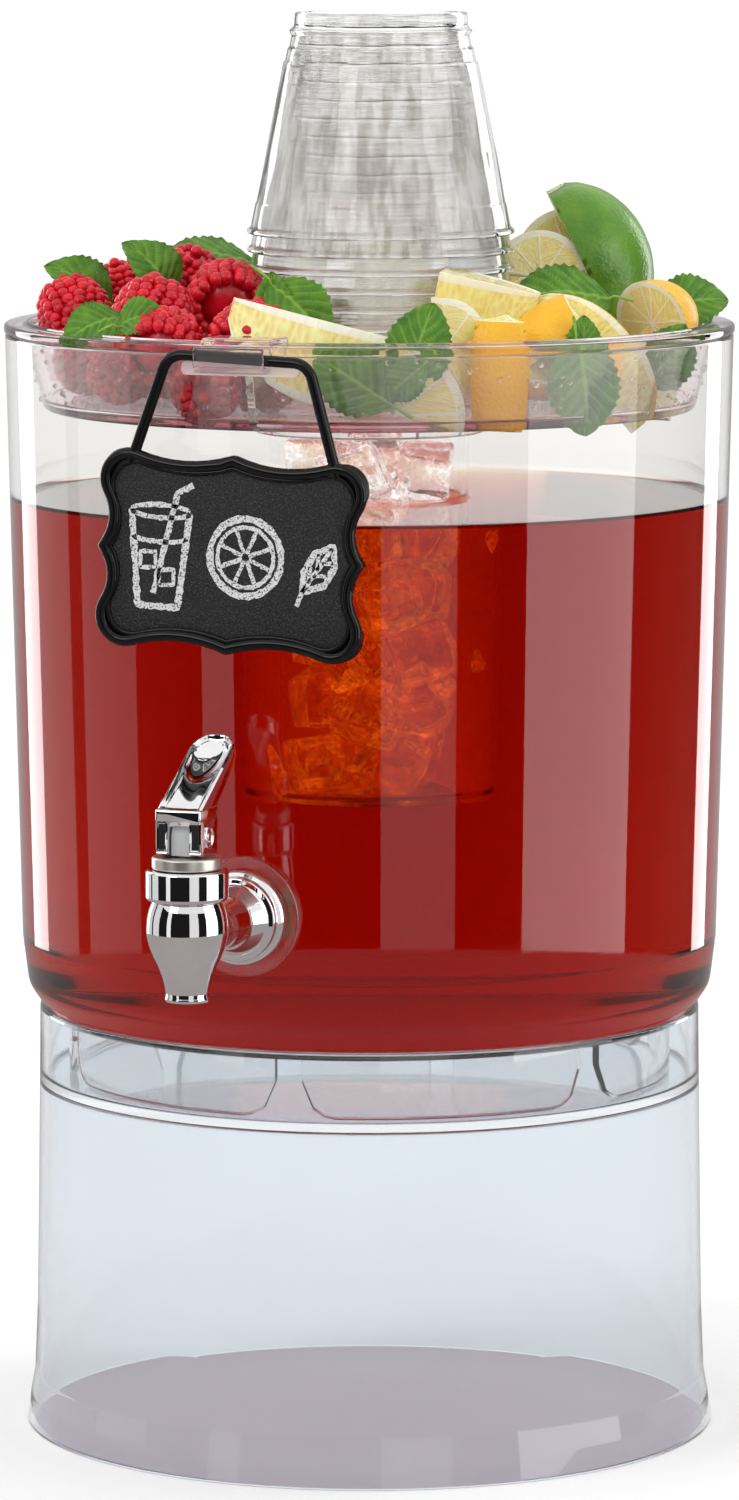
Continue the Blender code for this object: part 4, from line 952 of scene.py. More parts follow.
def tap():
    """Barrel with its nozzle, the neck through the drum's wall, cap, ring and outer gasket."""
    axis = Vector((0, PIVOT.y, 0))
    reach = AXIS.y - PIVOT.y
    barrel = [
        (0.0, BARREL_TOP_Z), (0.0121, BARREL_TOP_Z), (0.0124, 0.2192), (0.0131, 0.2174), (0.0137, 0.2153),
        (0.0141, 0.2130),
        (0.0143, 0.2100), (0.0143, 0.2080), (0.0139, 0.2060), (0.0134, 0.2040), (0.0127, 0.2021),
        (0.0118, 0.2000),
        (0.0108, 0.1980), (0.0099, 0.1960), (0.0091, 0.1940), (0.0085, 0.1920), (0.0080, 0.1900),
        (0.0077, 0.1880),
        (0.0075, 0.1865), (0.0078, 0.1860), (0.0079, 0.1853), (0.0076, 0.1846), (0.0070, 0.1845),
        (0.0056, 0.1846),
        (0.0052, 0.1851), (0.0050, 0.1870), (0.0050, 0.2010), (0.0, 0.2010),
    ]
    body = lathe_mesh(barrel, 96, closed=False)
    neck = rounded([
        (0.0, reach - 0.010), (0.0080, reach - 0.010, 0.0005), (0.0082, 0.1563, 0.006),
        (0.0094, 0.1470, 0.006),
        (0.0122, 0.1402, 0.0022), (0.0128, 0.1392, 0.0006), (0.0148, 0.1388, 0.0007),
        (0.0152, 0.1366, 0.0006),
        (0.0164, 0.1360, 0.0006), (0.0170, 0.1349, 0.0010), (0.0170, 0.1323, 0.0004),
        (0.0080, 0.1323, 0.0002),
        (0.0080, 0.1102, 0.0004), (0.0052, 0.1102, 0.0004), (0.0052, 0.1400), (0.0, 0.1400),
    ])
    turned = Matrix.Translation((0, reach, TAP_HOLE_Z)) @ FRONT_TURN
    verts, faces = joined(body, moved(lathe_mesh(neck, 96, closed=False), turned))
    add_mesh("tap_body", verts, faces, CHROME, "drum", "chrome", ["spigot_body"], axis, sharp=40)
    collar = rounded([
        (0.0145, 0.2308, 0.0013), (0.0145, BARREL_TOP_Z, 0.0013), (0.0109, BARREL_TOP_Z), (0.0109, 0.2284),
        (0.0036, 0.2284), (0.0036, 0.2308),
    ], 6)
    collar = lathe_mesh(collar, 96)
    add_mesh("tap_collar", *collar, CHROME, "drum", "chrome", ["bonnet_collar"], axis, sharp=40)
    ring = [(0.0122, 0.2353, 0.0008), (0.0122, 0.2311, 0.0006), (0.0036, 0.2311), (0.0036, 0.2353)]
    ring = lathe_mesh(rounded(ring, 5), 96)
    add_mesh("tap_ring", *ring, SATIN, "drum", "satin", ["bonnet_ring"], axis, sharp=40)
    gasket = rounded([
        (0.02125, 0.1310, 0.0006), (0.02125, 0.1322, 0.0006), (0.0082, 0.1322, 0.0002),
        (0.0082, 0.1300, 0.0002),
    ])
    mesh = moved(lathe_mesh(gasket, 72), Matrix.Translation((0, 0, TAP_HOLE_Z)) @ FRONT_TURN)
    add_mesh("tap_gasket", *mesh, GASKET, "drum", "silicone", ["outer_gasket"], AXIS, sharp=40)


def stem():
    """Shaft with its collar, and the rounded tongue that the pin goes through."""
    shaft = rounded([
        (0.0, 0.2402), (0.0030, 0.2402, 0.0003), (0.0030, 0.2145, 0.0003), (0.0065, 0.2145, 0.0004),
        (0.0065, 0.2130, 0.0004), (0.0030, 0.2130, 0.0003), (0.0030, 0.2045, 0.0003), (0.0, 0.2045),
    ])
    low, radius, shoulder = -0.0062, 0.0055, 0.0042
    turns = [math.radians(180 * i / 24) for i in range(25)]
    arch = [(radius * math.cos(a), radius * math.sin(a)) for a in turns]
    tongue = slab_mesh([*arch, (-radius, low), (radius, low)], 0.0072, 0.0006)
    tongue = moved(tongue, Matrix.Translation((0.0036, 0, PIVOT.z)) @ SIDE_TURN)
    foot = [(-shoulder, low), (shoulder, low), (shoulder, low + 0.0012), (-shoulder, low + 0.0012)]
    foot = moved(slab_mesh(foot, 0.0080, 0.0003), Matrix.Translation((0.0040, 0, PIVOT.z)) @ SIDE_TURN)
    verts, faces = joined(lathe_mesh(shaft, 48, closed=False), tongue, foot)
    middle = (0, PIVOT.y, 0)
    add_mesh("tap_stem", verts, faces, STEM, "stem", "stem_plastic", ["valve_stem"], middle, sharp=40)


def spring():
    """Coil between the stem's collar and the cap, with a mesh of its own."""
    low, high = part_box("valve_spring")
    wire, turns, steps = 0.0005, 4, 24
    tall = high.z - low.z - 2 * wire
    path = []
    for i in range(turns * steps + 1):
        a = math.tau * i / steps
        z = low.z + wire + tall * i / (turns * steps)
        path.append(Vector((0.005 * math.cos(a), 0.005 * math.sin(a), z)))
    verts, faces = tube_mesh(path, wire, 10)
    middle = (0, PIVOT.y, 0)
    coil = add_mesh("tap_spring", verts, faces, STEEL, "drum", "spring_steel", ["valve_spring"], middle)
    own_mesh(coil)


def lever():
    """Fork with framed cheeks whose recesses carry painted shade, a bevelled band, and a long scooped paddle
    with a thumb dimple.
    """
    half, slot, reach = 0.0081, 0.0042, 0.0086
    drop = PIVOT.z - 0.2353 - 0.0003
    heel = []
    for step in range(13):
        turn = math.radians(5 * step)
        far = drop + 0.0038 * turn
        back = -far * math.sin(turn) - 0.0038 * math.cos(turn)
        if back < -reach:
            break
        heel.append((back, -far * math.cos(turn) + 0.0038 * math.sin(turn)))
    side = [(0.0080, heel[0][1]), *heel, (-0.0080, heel[-1][1] + 0.0004), (-0.0080, 0.0070), (0.0084, 0.0070)]
    parts, shade_panels = [], []
    for sign_x in (-1, 1):
        cheek = slab_mesh(side, half - slot, 0.0004)
        parts.append(moved(cheek, Matrix.Translation((half if sign_x > 0 else -slot, 0, 0)) @ SIDE_TURN))
        low, high = heel[-1][1] + 0.0010, 0.0056
        a, b = slot + 0.0003, half - 0.0003
        corners = [(a, low), (b, low), (b, high), (a, high)]
        ring = rounded([(*corner, 0.0004) for corner in corners], 3)
        path = [Vector((sign_x * x, -0.0079, z)) for x, z in ring]
        parts.append(tube_mesh(path, 0.00055, 8, closed=True))
        # Painted shade: a dark panel in each framed recess of the cheeks.
        panel = slab_mesh([(sign_x * x, z) for x, z in corners], 0.0003)
        shade_panels.append(moved(panel, Matrix.Translation((0, -0.00815, 0)) @ FRONT_TURN))
        boss = [
            (0.0020, 0.0), (0.0040, 0.0), (0.0040, 0.0006, 0.0003), (0.0033, 0.0006, 0.0002),
            (0.0030, 0.0001),
        ]
        outward = Matrix.Rotation(math.radians(90 * sign_x), 4, "Y")
        boss = moved(lathe_mesh(rounded(boss, 3), 40), Matrix.Translation((sign_x * half, 0, 0)) @ outward)
        parts.append(boss)
    edge = half + 0.0003
    cap = [(-edge, 0.0060, 0.0004), (edge, 0.0060, 0.0004), (edge, 0.0102, 0.0006), (-edge, 0.0102, 0.0006)]
    cap = slab_mesh(rounded(cap, 3), 0.0168, 0.0008)
    parts.append(moved(cap, Matrix.Translation((0, -0.0090, 0)) @ FRONT_TURN))
    start, along = Vector((0, -0.0078, 0.0100)), Vector((0, 0.862, 0.506))
    up = Vector((0, -0.506, 0.862))
    length, tip = 0.0440, 0.0081
    rows, columns = 64, 28
    verts = []
    for i in range(rows + 1):
        far = length * (1 - (1 - i / rows) ** 1.6) if i else 0.0
        past = (far - (length - tip)) / tip
        wide = half * (math.sqrt(max(0.0, 1 - past * past)) if past > 0 else 1.0) + 0.00002
        thick = 0.0105 - 0.0055 * far / length
        for k in range(2 * columns):
            front = k < columns
            v = -1 + 2 * (k / (columns - 1) if front else (2 * columns - 1 - k) / (columns - 1))
            x = wide * v
            depth = -thick
            if front:
                edge = min((1 - abs(v)) * wide, length - far, far + 0.0006)
                rim = min(1.0, max(0.0, (edge - 0.0009) / 0.0012))
                rim = rim * rim * (3 - 2 * rim)
                scoop = 0.0009 + 0.0006 * (1 - v * v)
                oval = math.hypot((far - 0.0300) / 0.0118, x / 0.0062)
                bowl = max(0.0, 1 - oval * oval)
                depth = -rim * (scoop + 0.0022 * bowl**0.6)
                round_off = max(0.0, 0.0005 - (1 - abs(v)) * wide)
                depth -= round_off
            elif abs(v) == 1:
                depth = -thick + 0.0012
            verts.append(start + along * far + Vector((x, 0, 0)) + up * depth)
    verts, faces = joined(*parts, (verts, sleeve(rows + 1, 2 * columns)))
    add_mesh("tap_handle", verts, faces, CHROME, "lever", "chrome", ["tap_lever"], PIVOT, sharp=42)
    # The dark panels are painted shade on the chrome lever.
    verts, faces = joined(*shade_panels)
    add_mesh("tap_handle_recess_shade", verts, faces, RECESS_SHADE, "lever", "chrome", (), PIVOT)
    pin = rounded([(0.0, -0.0085), (0.0016, -0.0085, 0.0004), (0.0016, 0.0085, 0.0004), (0.0, 0.0085)], 3)
    pin = moved(lathe_mesh(pin, 32, closed=False), Matrix.Rotation(math.radians(90), 4, "Y"))
    add_mesh("tap_pin", *pin, STEEL, "lever", "spring_steel", ["pivot_pin"], PIVOT)


# ---------------------------------------------------------------- ice and garnish


def chance_turn(chance, limits):
    """A random rotation, from the limits of its angle about each axis."""
    return spin(*[(chance.uniform(low, high), axis) for low, high, axis in limits])


def ice():
    """Worn ice cubes heaped in the core."""
    chance = random.Random(7)
    kinds = []
    for k in range(5):
        shape = bmesh.new()
        bmesh.ops.create_cube(shape, size=1.0)
        for v in shape.verts:
            v.co += Vector([chance.uniform(-0.12, 0.12) for _ in range(3)])
        bmesh.ops.bevel(shape, geom=list(shape.edges), offset=0.16, segments=3, profile=0.6, affect="EDGES")
        bmesh.ops.subdivide_edges(shape, edges=list(shape.edges), cuts=2, use_grid_fill=True)
        # Tone marks each cube's edges, where the material paints its glow.
        tones = []
        for v in shape.verts:
            side = sorted(abs(c) for c in v.co)[1]
            tones.append(min(1.0, max(0.0, (side - 0.34) / 0.08)))
            v.co += v.co.normalized() * 0.06 * noise.noise(v.co * 2.6 + Vector((9 * k, 0, 0)))
            v.co *= 0.0215
        mesh = new_mesh(f"ice_cube_{k}", [], [], ICE)
        shape.to_mesh(mesh)
        shape.free()
        store(mesh, "tone", "FLOAT", tones)
        kinds.append(smoothed(mesh))
    spots = []
    level = 0.2515
    while level < 0.358:
        turn = chance.uniform(0, 360)
        for k in range(4):
            a = math.radians(turn + 90 * k + chance.uniform(-9, 9))
            r = 0.0186 + 0.0150 * (level - 0.25)
            spots.append((r * math.cos(a), r * math.sin(a), level + chance.uniform(-0.002, 0.002)))
        level += 0.0205
    for i, (x, y, z) in enumerate(spots):
        turn = chance_turn(chance, ((0, 1.57, "Z"), (-0.5, 0.5, "X"), (-0.5, 0.5, "Y")))
        worn = Matrix.Diagonal([chance.uniform(least, 1.0) for least in (0.85, 0.8, 0.85)])
        stands_for = ["ice_fill"] if i == 0 else ()
        spot = AXIS + Vector((x, y, z))
        add_piece(f"ice_{i + 1:02d}", kinds[i % 5], "core", "ice", stands_for, spot, turn @ worn)


def berry_mesh(seed):
    """A raspberry from its drupelets, about 25 mm across, its open end down and its tip up."""
    chance = random.Random(seed)
    parts = []
    radius, tall = 0.0106, 0.0210
    row, k = 0.0, 0
    while row < 1.0:
        z = tall * (0.10 + 0.86 * row)
        t = (z / tall - 0.30) / 0.70
        r = radius * (math.sqrt(max(0.02, 1 - t**2.2)) if t > 0 else 0.90 + 0.10 * (z / tall) / 0.30)
        count = max(3, round(math.tau * r / 0.0037))
        shift = chance.uniform(0, math.tau)
        for n in range(count):
            a = shift + math.tau * n / count + chance.uniform(-0.07, 0.07)
            size = 0.0022 * chance.uniform(0.9, 1.1)
            spot = Vector((r * math.cos(a), r * math.sin(a), z + chance.uniform(-0.0004, 0.0004)))
            squash = Matrix.Diagonal((1.0, 1.0, 0.88, 1.0))
            parts.append(moved(ball(size, 7, 9), Matrix.Translation(spot) @ squash))
        row += 0.135 - 0.015 * k / 8
        k += 1
    parts.append(moved(ball(0.0025, 9, 12), Matrix.Translation((0, 0, tall * 0.985))))
    inside = Matrix.Diagonal((radius * 0.98, radius * 0.98, tall * 0.46, 1))
    parts.append(moved(ball(1.0, 12, 16), Matrix.Translation((0, 0, tall * 0.48)) @ inside))
    verts, faces = joined(*parts)
    verts = [v - Vector((0, 0, tall / 2)) for v in verts]
    return smoothed(new_mesh(f"raspberry_{seed}", verts, faces, RASPBERRY))


def euler(x, y, z):
    """A turn in degrees: about X, then Y, then Z of the main view's own right, away and up."""
    turn = spin((math.radians(z), "Z"), (math.radians(y), "Y"), (math.radians(x), "X"))
    return Matrix.Rotation(math.radians(CAMERA_AZIMUTH), 3, "Z") @ turn


def viewed(right, toward, up):
    """A direction given by the main view's right, toward the viewer, and up."""
    a = math.radians(CAMERA_AZIMUTH)
    across, ahead = Vector((math.cos(a), math.sin(a), 0)), Vector((math.sin(a), -math.cos(a), 0))
    return (across * right + ahead * toward + Vector((0, 0, up))).normalized()


def laid(long, face, middle=0.0):
    """A turn that brings local X onto one direction, and the local direction at an angle about X near
    another."""
    x = viewed(*long)
    y = viewed(*face)
    y = (y - x * y.dot(x)).normalized()
    there = Matrix((x, y, x.cross(y))).transposed()
    return there @ Matrix.Rotation(-math.radians(middle), 3, "X")


def raspberries():
    """The berries that show, each in its place, then the rest of their compartment."""
    chance = random.Random(3)
    kinds = [berry_mesh(seed) for seed in (1, 2, 3, 4)]
    heroes = [
        (-109, -4, 413, 1.12, (-18, -22, 0)), (-93, -34, 419, 0.90, (10, -10, 0)),
        (-78, 42, 414, 1.25, (-14, 10, 30)),
        (-52, 20, 419, 1.20, (-70, 12, 10)), (-72, 82, 407, 1.10, (-62, 35, 0)),
        (-43, 82, 409, 1.10, (-50, 30, 0)),
        (-57, 97, 391, 1.0, (100, 10, 0)), (-67, -22, 424, 1.0, (20, 20, 0)),
        (-64, -56, 421, 0.95, (-20, 0, 0)),
        (-86, -56, 414, 1.0, (0, 30, 0)), (-99, 36, 404, 1.05, (40, 10, 0)),
    ]
    spots = [(seen(x, t, z), s, euler(*turn)) for x, t, z, s, turn in heroes]
    rings = ((0.3925, 0.1035, 8), (0.3925, 0.0745, 5), (0.4060, 0.1050, 8), (0.4080, 0.0770, 5))
    for low, radius, count in rings:
        for k in range(count):
            azimuth = -120 + 120 * (k + 0.5 + chance.uniform(-0.12, 0.12)) / count
            spot = polar(radius + chance.uniform(-0.002, 0.002), azimuth, low + chance.uniform(-0.002, 0.002))
            if any((spot - other).length < 0.0165 for other, _, _ in spots):
                continue
            turn = chance_turn(chance, ((0, 6, "Z"), (0, 2.6, "X")))
            spots.append((spot, chance.uniform(0.92, 1.06), turn))
    for i, (spot, size, turn) in enumerate(spots):
        stands_for = ["raspberry_heap"] if i == 0 else ()
        turn = turn @ scaled(size)
        add_piece(f"raspberry_{i + 1:02d}", kinds[i % 4], "tray", "raspberry", stands_for, spot, turn)


def citrus_mesh(name, rind, flesh, a0, a1, t0, t1, cross=0.0275, long=0.036, seed=0):
    """A piece of citrus cut from the whole fruit: angles a0 to a1 about its long axis, t0 to t1 along it.

    The fruit's long axis is X; the piece is then moved so that its middle is the origin. Cut faces carry
    tone (pith or juice) and grain."""
    rows, rays, around = 30, 14, max(10, int((a1 - a0) / 5))
    whole = a1 - a0 >= 359
    verts, faces, tones, grains, kinds = [], [], [], [], []

    def radius(t):
        base = math.sqrt(max(0.0, 1 - t * t))
        tip = 0.16 * max(0.0, abs(t) - 0.86) / 0.14
        return cross * (base * 0.97 + tip * math.sqrt(max(0.0, 1 - abs(t))) + 0.012)

    def put(t, share, angle, lift=0.0, across=None):
        r = radius(t) * share
        a = math.radians(angle)
        p = Vector((long * t, r * math.cos(a), r * math.sin(a)))
        if across is not None:
            p += across * lift
        verts.append(p)
        return len(verts) - 1

    def tone_at(share, angle, cap):
        skin = 1.0 if share > 0.885 else 0.0
        middle = 1.0 if share < 0.075 else 0.0
        if not cap:
            return max(skin, middle)
        step = (angle + 400 + seed * 7) % 38.0
        wall = min(step, 38.0 - step) * math.pi / 180 * share * cross
        return max(skin, middle, 1.0 if wall < 0.00045 else 0.0)

    def note(share, angle, t, cap):
        tones.append(tone_at(share, angle, cap))
        if cap:
            grains.append((angle * share * 0.55, share * 4.5, seed))
        else:
            grains.append((share * 6.5, t * long / 0.0016, seed + 5))

    def quads(grid, kind, wrap=False):
        for i in range(len(grid) - 1):
            width = len(grid[0])
            for k in range(width if wrap else width - 1):
                n = (k + 1) % width
                faces.append((grid[i][k], grid[i][n], grid[i + 1][n], grid[i + 1][k]))
                kinds.append(kind)

    levels = [t0 + (t1 - t0) * i / rows for i in range(rows + 1)]
    skin = []
    for t in levels:
        line = []
        for k in range(around + (0 if whole else 1)):
            angle = a0 + (a1 - a0) * k / around
            dimple = 1 + 0.006 * noise.noise(Vector((t * 9, angle * 0.12, seed)))
            line.append(put(t, dimple, angle))
            note(1.0, angle, t, False)
        skin.append(line)
    quads(skin, 0, whole)
    if not whole:
        for angle, sign_out in ((a0, -1), (a1, 1)):
            a = math.radians(angle)
            out = Vector((0, -math.sin(a), math.cos(a))) * sign_out
            grid = []
            for t in levels:
                line = []
                for k in range(rays + 1):
                    share = k / rays
                    sac = noise.noise(Vector((share * 14, t * 22, seed + 3.1 * sign_out)))
                    lift = (0.00035 * sac - 0.0003) if 0.08 < share < 0.86 else 0.0
                    line.append(put(t, share, angle, lift, out))
                    note(share, angle, t, False)
                grid.append(line)
            quads(grid, 1)
    for t, sign_out in ((t0, -1), (t1, 1)):
        if abs(t) > 0.97:
            continue
        grid = []
        for k in range(rays + 6):
            share = k / (rays + 5)
            line = []
            fine = around * 3
            for n in range(fine + (0 if whole else 1)):
                angle = a0 + (a1 - a0) * n / fine
                tone = tone_at(share, angle, True)
                sac = noise.noise(Vector((share * 12, angle * 0.25 * share, seed + 9.0 * sign_out)))
                lift = 0.0 if tone else 0.0004 * sac - 0.00025
                line.append(put(t, share, angle, lift, Vector((sign_out, 0, 0))))
                note(share, angle, t, True)
            grid.append(line)
        quads(grid, 1, whole)
    points = np.array([tuple(v) for v in verts])
    points -= (points.min(axis=0) + points.max(axis=0)) / 2
    mesh = new_mesh(name, points.tolist(), faces, (rind, flesh))
    store(mesh, "tone", "FLOAT", tones)
    store(mesh, "grain", "FLOAT_VECTOR", grains)
    mesh.polygons.foreach_set("material_index", kinds)
    shape = bmesh.new()
    shape.from_mesh(mesh)
    bmesh.ops.remove_doubles(shape, verts=list(shape.verts), dist=0.00002)
    bmesh.ops.recalc_face_normals(shape, faces=list(shape.faces))
    shape.to_mesh(mesh)
    shape.free()
    return smoothed(mesh, 48)


def leaf_mesh(name, length, width, curl, bend, seed):
    """A mint leaf along +X: toothed edge, sunken veins with the blade puffed up between them."""
    rows, half = 44, 11
    verts, faces, tones = [], [], []
    for i in range(rows + 1):
        u = i / rows
        wide = width / 2 * math.sin(math.pi * min(1.0, u**0.78)) ** 0.75 if 0 < u < 1 else 0.0
        tooth = 1 + 0.13 * (1 - abs(2 * ((u * 11 + 0.3) % 1) - 1)) * (1 if 0.04 < u < 0.99 else 0)
        for k in range(-half, half + 1):
            v = k / half
            y = wide * v * (tooth if abs(v) > 0.85 else 1.0)
            ahead = u * length + abs(v) * wide * 0.25
            rib = (u * 7.5 - abs(v) * 1.7) % 1.0
            near = min(rib, 1 - rib)
            side_vein = math.exp(-((near / 0.09) ** 2)) * (1 - abs(v) * 0.5)
            vein = max(side_vein, math.exp(-((abs(v) / 0.05) ** 2)))
            wrinkle = 0.0003 * noise.noise(Vector((u * 16, v * 9, seed)))
            puff = 0.0007 * math.sin(math.pi * rib) * (1 - v * v * 0.5) + wrinkle
            z = puff - 0.0004 * vein + curl * abs(v) * wide - bend * length * (u - 0.4) ** 2
            z += 0.0006 * noise.noise(Vector((u * 5, v * 3, seed + 4)))
            verts.append((ahead - length * 0.5, y, z))
            tones.append(vein * 0.8)
    width_n = 2 * half + 1
    for i in range(rows):
        for k in range(width_n - 1):
            a, b = i * width_n + k, (i + 1) * width_n + k
            faces.append((a, b, b + 1, a + 1))
    count = len(verts)
    lower = [(x, y, z - 0.00035) for x, y, z in verts]
    under = [tuple(count + j for j in reversed(face)) for face in faces]
    rim = []
    for i in range(rows):
        for k in (0, width_n - 1):
            a, b = i * width_n + k, (i + 1) * width_n + k
            rim.append((a, b, count + b, count + a))
    stalk = [
        (-length * 0.5 - 0.007, 0, -0.0018), (-length * 0.5 - 0.003, 0, -0.0006), (-length * 0.49, 0, 0),
        (-length * 0.3, 0, -bend * length * 0.36 - 0.0003),
    ]
    stalk_verts, stalk_faces = tube_mesh(stalk, [0.0006, 0.0006, 0.0005, 0.0003], 6)
    base = 2 * count
    faces = faces + under + rim + [tuple(base + j for j in face) for face in stalk_faces]
    mesh = new_mesh(name, verts + lower + stalk_verts, faces, LEAF)
    store(mesh, "tone", "FLOAT", tones * 2 + [0.9] * len(stalk_verts))
    return smoothed(mesh)


def fruit():
    """Lemon and lime pieces: the front ones each in its place, the rest filling the compartments."""
    lemon = (LEMON_RIND, LEMON_FLESH)
    lime = (LIME_RIND, LIME_FLESH)
    cuts = {
        "wedge": citrus_mesh("lemon_wedge", *lemon, 0, 78, -0.97, 0.97, seed=1),
        "half_wedge": citrus_mesh("lemon_half_wedge", *lemon, 0, 84, -0.05, 0.97, seed=2),
        "chunk": citrus_mesh("lemon_chunk", *lemon, 0, 88, -0.35, 0.30, seed=3),
        "block": citrus_mesh("lemon_block", *lemon, 0, 64, -0.50, 0.48, seed=4),
        "strip": citrus_mesh("lemon_strip", *lemon, 0, 42, -0.52, 0.52, seed=14),
        "slice": citrus_mesh("lemon_slice", *lemon, 0, 178, -0.14, 0.12, seed=5),
        "quarter_slice": citrus_mesh("lemon_quarter", *lemon, 0, 100, -0.20, 0.18, seed=6),
        "end": citrus_mesh("lemon_end", *lemon, 0, 360, 0.10, 0.97, seed=7),
        "lime_wedge": citrus_mesh("lime_wedge_cut", *lime, 0, 95, -0.97, 0.97, 0.0255, 0.029, seed=8),
        "lime_half": citrus_mesh("lime_half_cut", *lime, 0, 360, 0.0, 0.97, 0.0240, 0.028, seed=9),
        "lime_chunk": citrus_mesh("lime_chunk_cut", *lime, 0, 85, -0.5, 0.3, 0.0250, 0.029, seed=10),
    }
    middles = {
        "wedge": 39, "half_wedge": 42, "chunk": 44, "block": 32, "strip": 21, "slice": 89,
        "quarter_slice": 50, "end": 0,
        "lime_wedge": 48,
    }
    heroes = [
        ("wedge", -14, 88, 397, 1.10, (0.95, 0.10, -0.24), (-0.15, -0.45, -0.88)),
        ("quarter_slice", 21, 106, 393, 0.92, (0.1, 1, 0.05), (0.75, 0, 0.55)),
        ("slice", 33, 92, 406, 0.70, (0.45, 0.88, 0), (0.85, -0.5, 0.1)),
        ("half_wedge", 42, 46, 415, 1.0, (1, 0.1, -0.22), (-0.1, -0.75, -0.6)),
        ("strip", 50, 93, 396, 1.04, (0.04, 0.05, 1), (-0.1, 1, 0.05)),
        ("block", 64, 72, 408, 0.70, (0.80, 0.1, 0.55), (-0.3, 0.75, 0.6)),
        ("wedge", 86, 56, 404, 0.84, (0.62, 0.1, -0.75), (0.62, -0.50, 0.60)),
        ("end", 109, 6, 411, 0.60, (0.62, -0.72, 0.25), (0, 0, 1)),
        ("slice", 64, -36, 431, 0.66, (0.1, 1, 0.15), (0.1, 0, 1)),
        ("slice", 72, -58, 437, 0.72, (0.2, 1, 0.2), (-0.2, 0, 1)),
        ("chunk", 96, 36, 389, 0.85, (0.9, 0.5, 0), (0, 0.5, 0.8)),
        ("block", 78, 70, 391, 0.80, (0.2, 0.1, 0.9), (0.3, 1, 0)),
        ("wedge", 62, 58, 390, 0.72, (0.9, -0.4, 0), (0, 0.2, -1)),
        ("chunk", 4, 76, 389, 0.90, (1, 0.1, 0.2), (0, 0.4, -1)),
        ("lime_wedge", 92, -46, 431, 1.08, (-0.42, 0.1, 0.90), (0.72, 0.62, 0.25)),
    ]

    def lay(number, cut, spot, turn, size, stands_for=()):
        slot = "lime" if cut.startswith("lime") else "lemon"
        add_piece(f"cut_{cut}_{number:02d}", cuts[cut], "tray", slot, stands_for, spot, turn @ scaled(size))

    for i, (cut, x, toward, z, size, long, face) in enumerate(heroes):
        stands_for = {0: ["citrus_heap"], len(heroes) - 1: ["lime_heap"]}.get(i, ())
        lay(i + 1, cut, seen(x, toward, z), laid(long, face, middles[cut]), size, stands_for)
    chance = random.Random(21)
    placed = [seen(x, t, z) for _, x, t, z, *_ in heroes]
    number = len(heroes)
    compartments = [
        (0, 0.4060, ("chunk", "block", "quarter_slice", "half_wedge")),
        (120, 0.4150, ("lime_wedge", "lime_chunk", "chunk", "lime_half", "lime_chunk")),
    ]
    for start, top, names in compartments:
        rings = ((0.3935, 0.1000, 6), (0.3940, 0.0740, 4), (top - 0.003, 0.1000, 6), (top, 0.0760, 4))
        for low, radius, count in rings:
            for k in range(count):
                azimuth = start + 120 * (k + 0.5 + chance.uniform(-0.1, 0.1)) / count
                spot = polar(radius, azimuth, low + chance.uniform(-0.002, 0.003))
                if any((spot - other).length < 0.0190 for other in placed):
                    continue
                placed.append(spot)
                number += 1
                name = names[number % len(names)]
                turn = chance_turn(chance, ((0, 6.2, "Z"), (-1, 1, "Y"), (0, 6.2, "X")))
                lay(number, name, spot, turn, 0.66 if name in ("half_wedge", "lime_wedge") else 0.82)


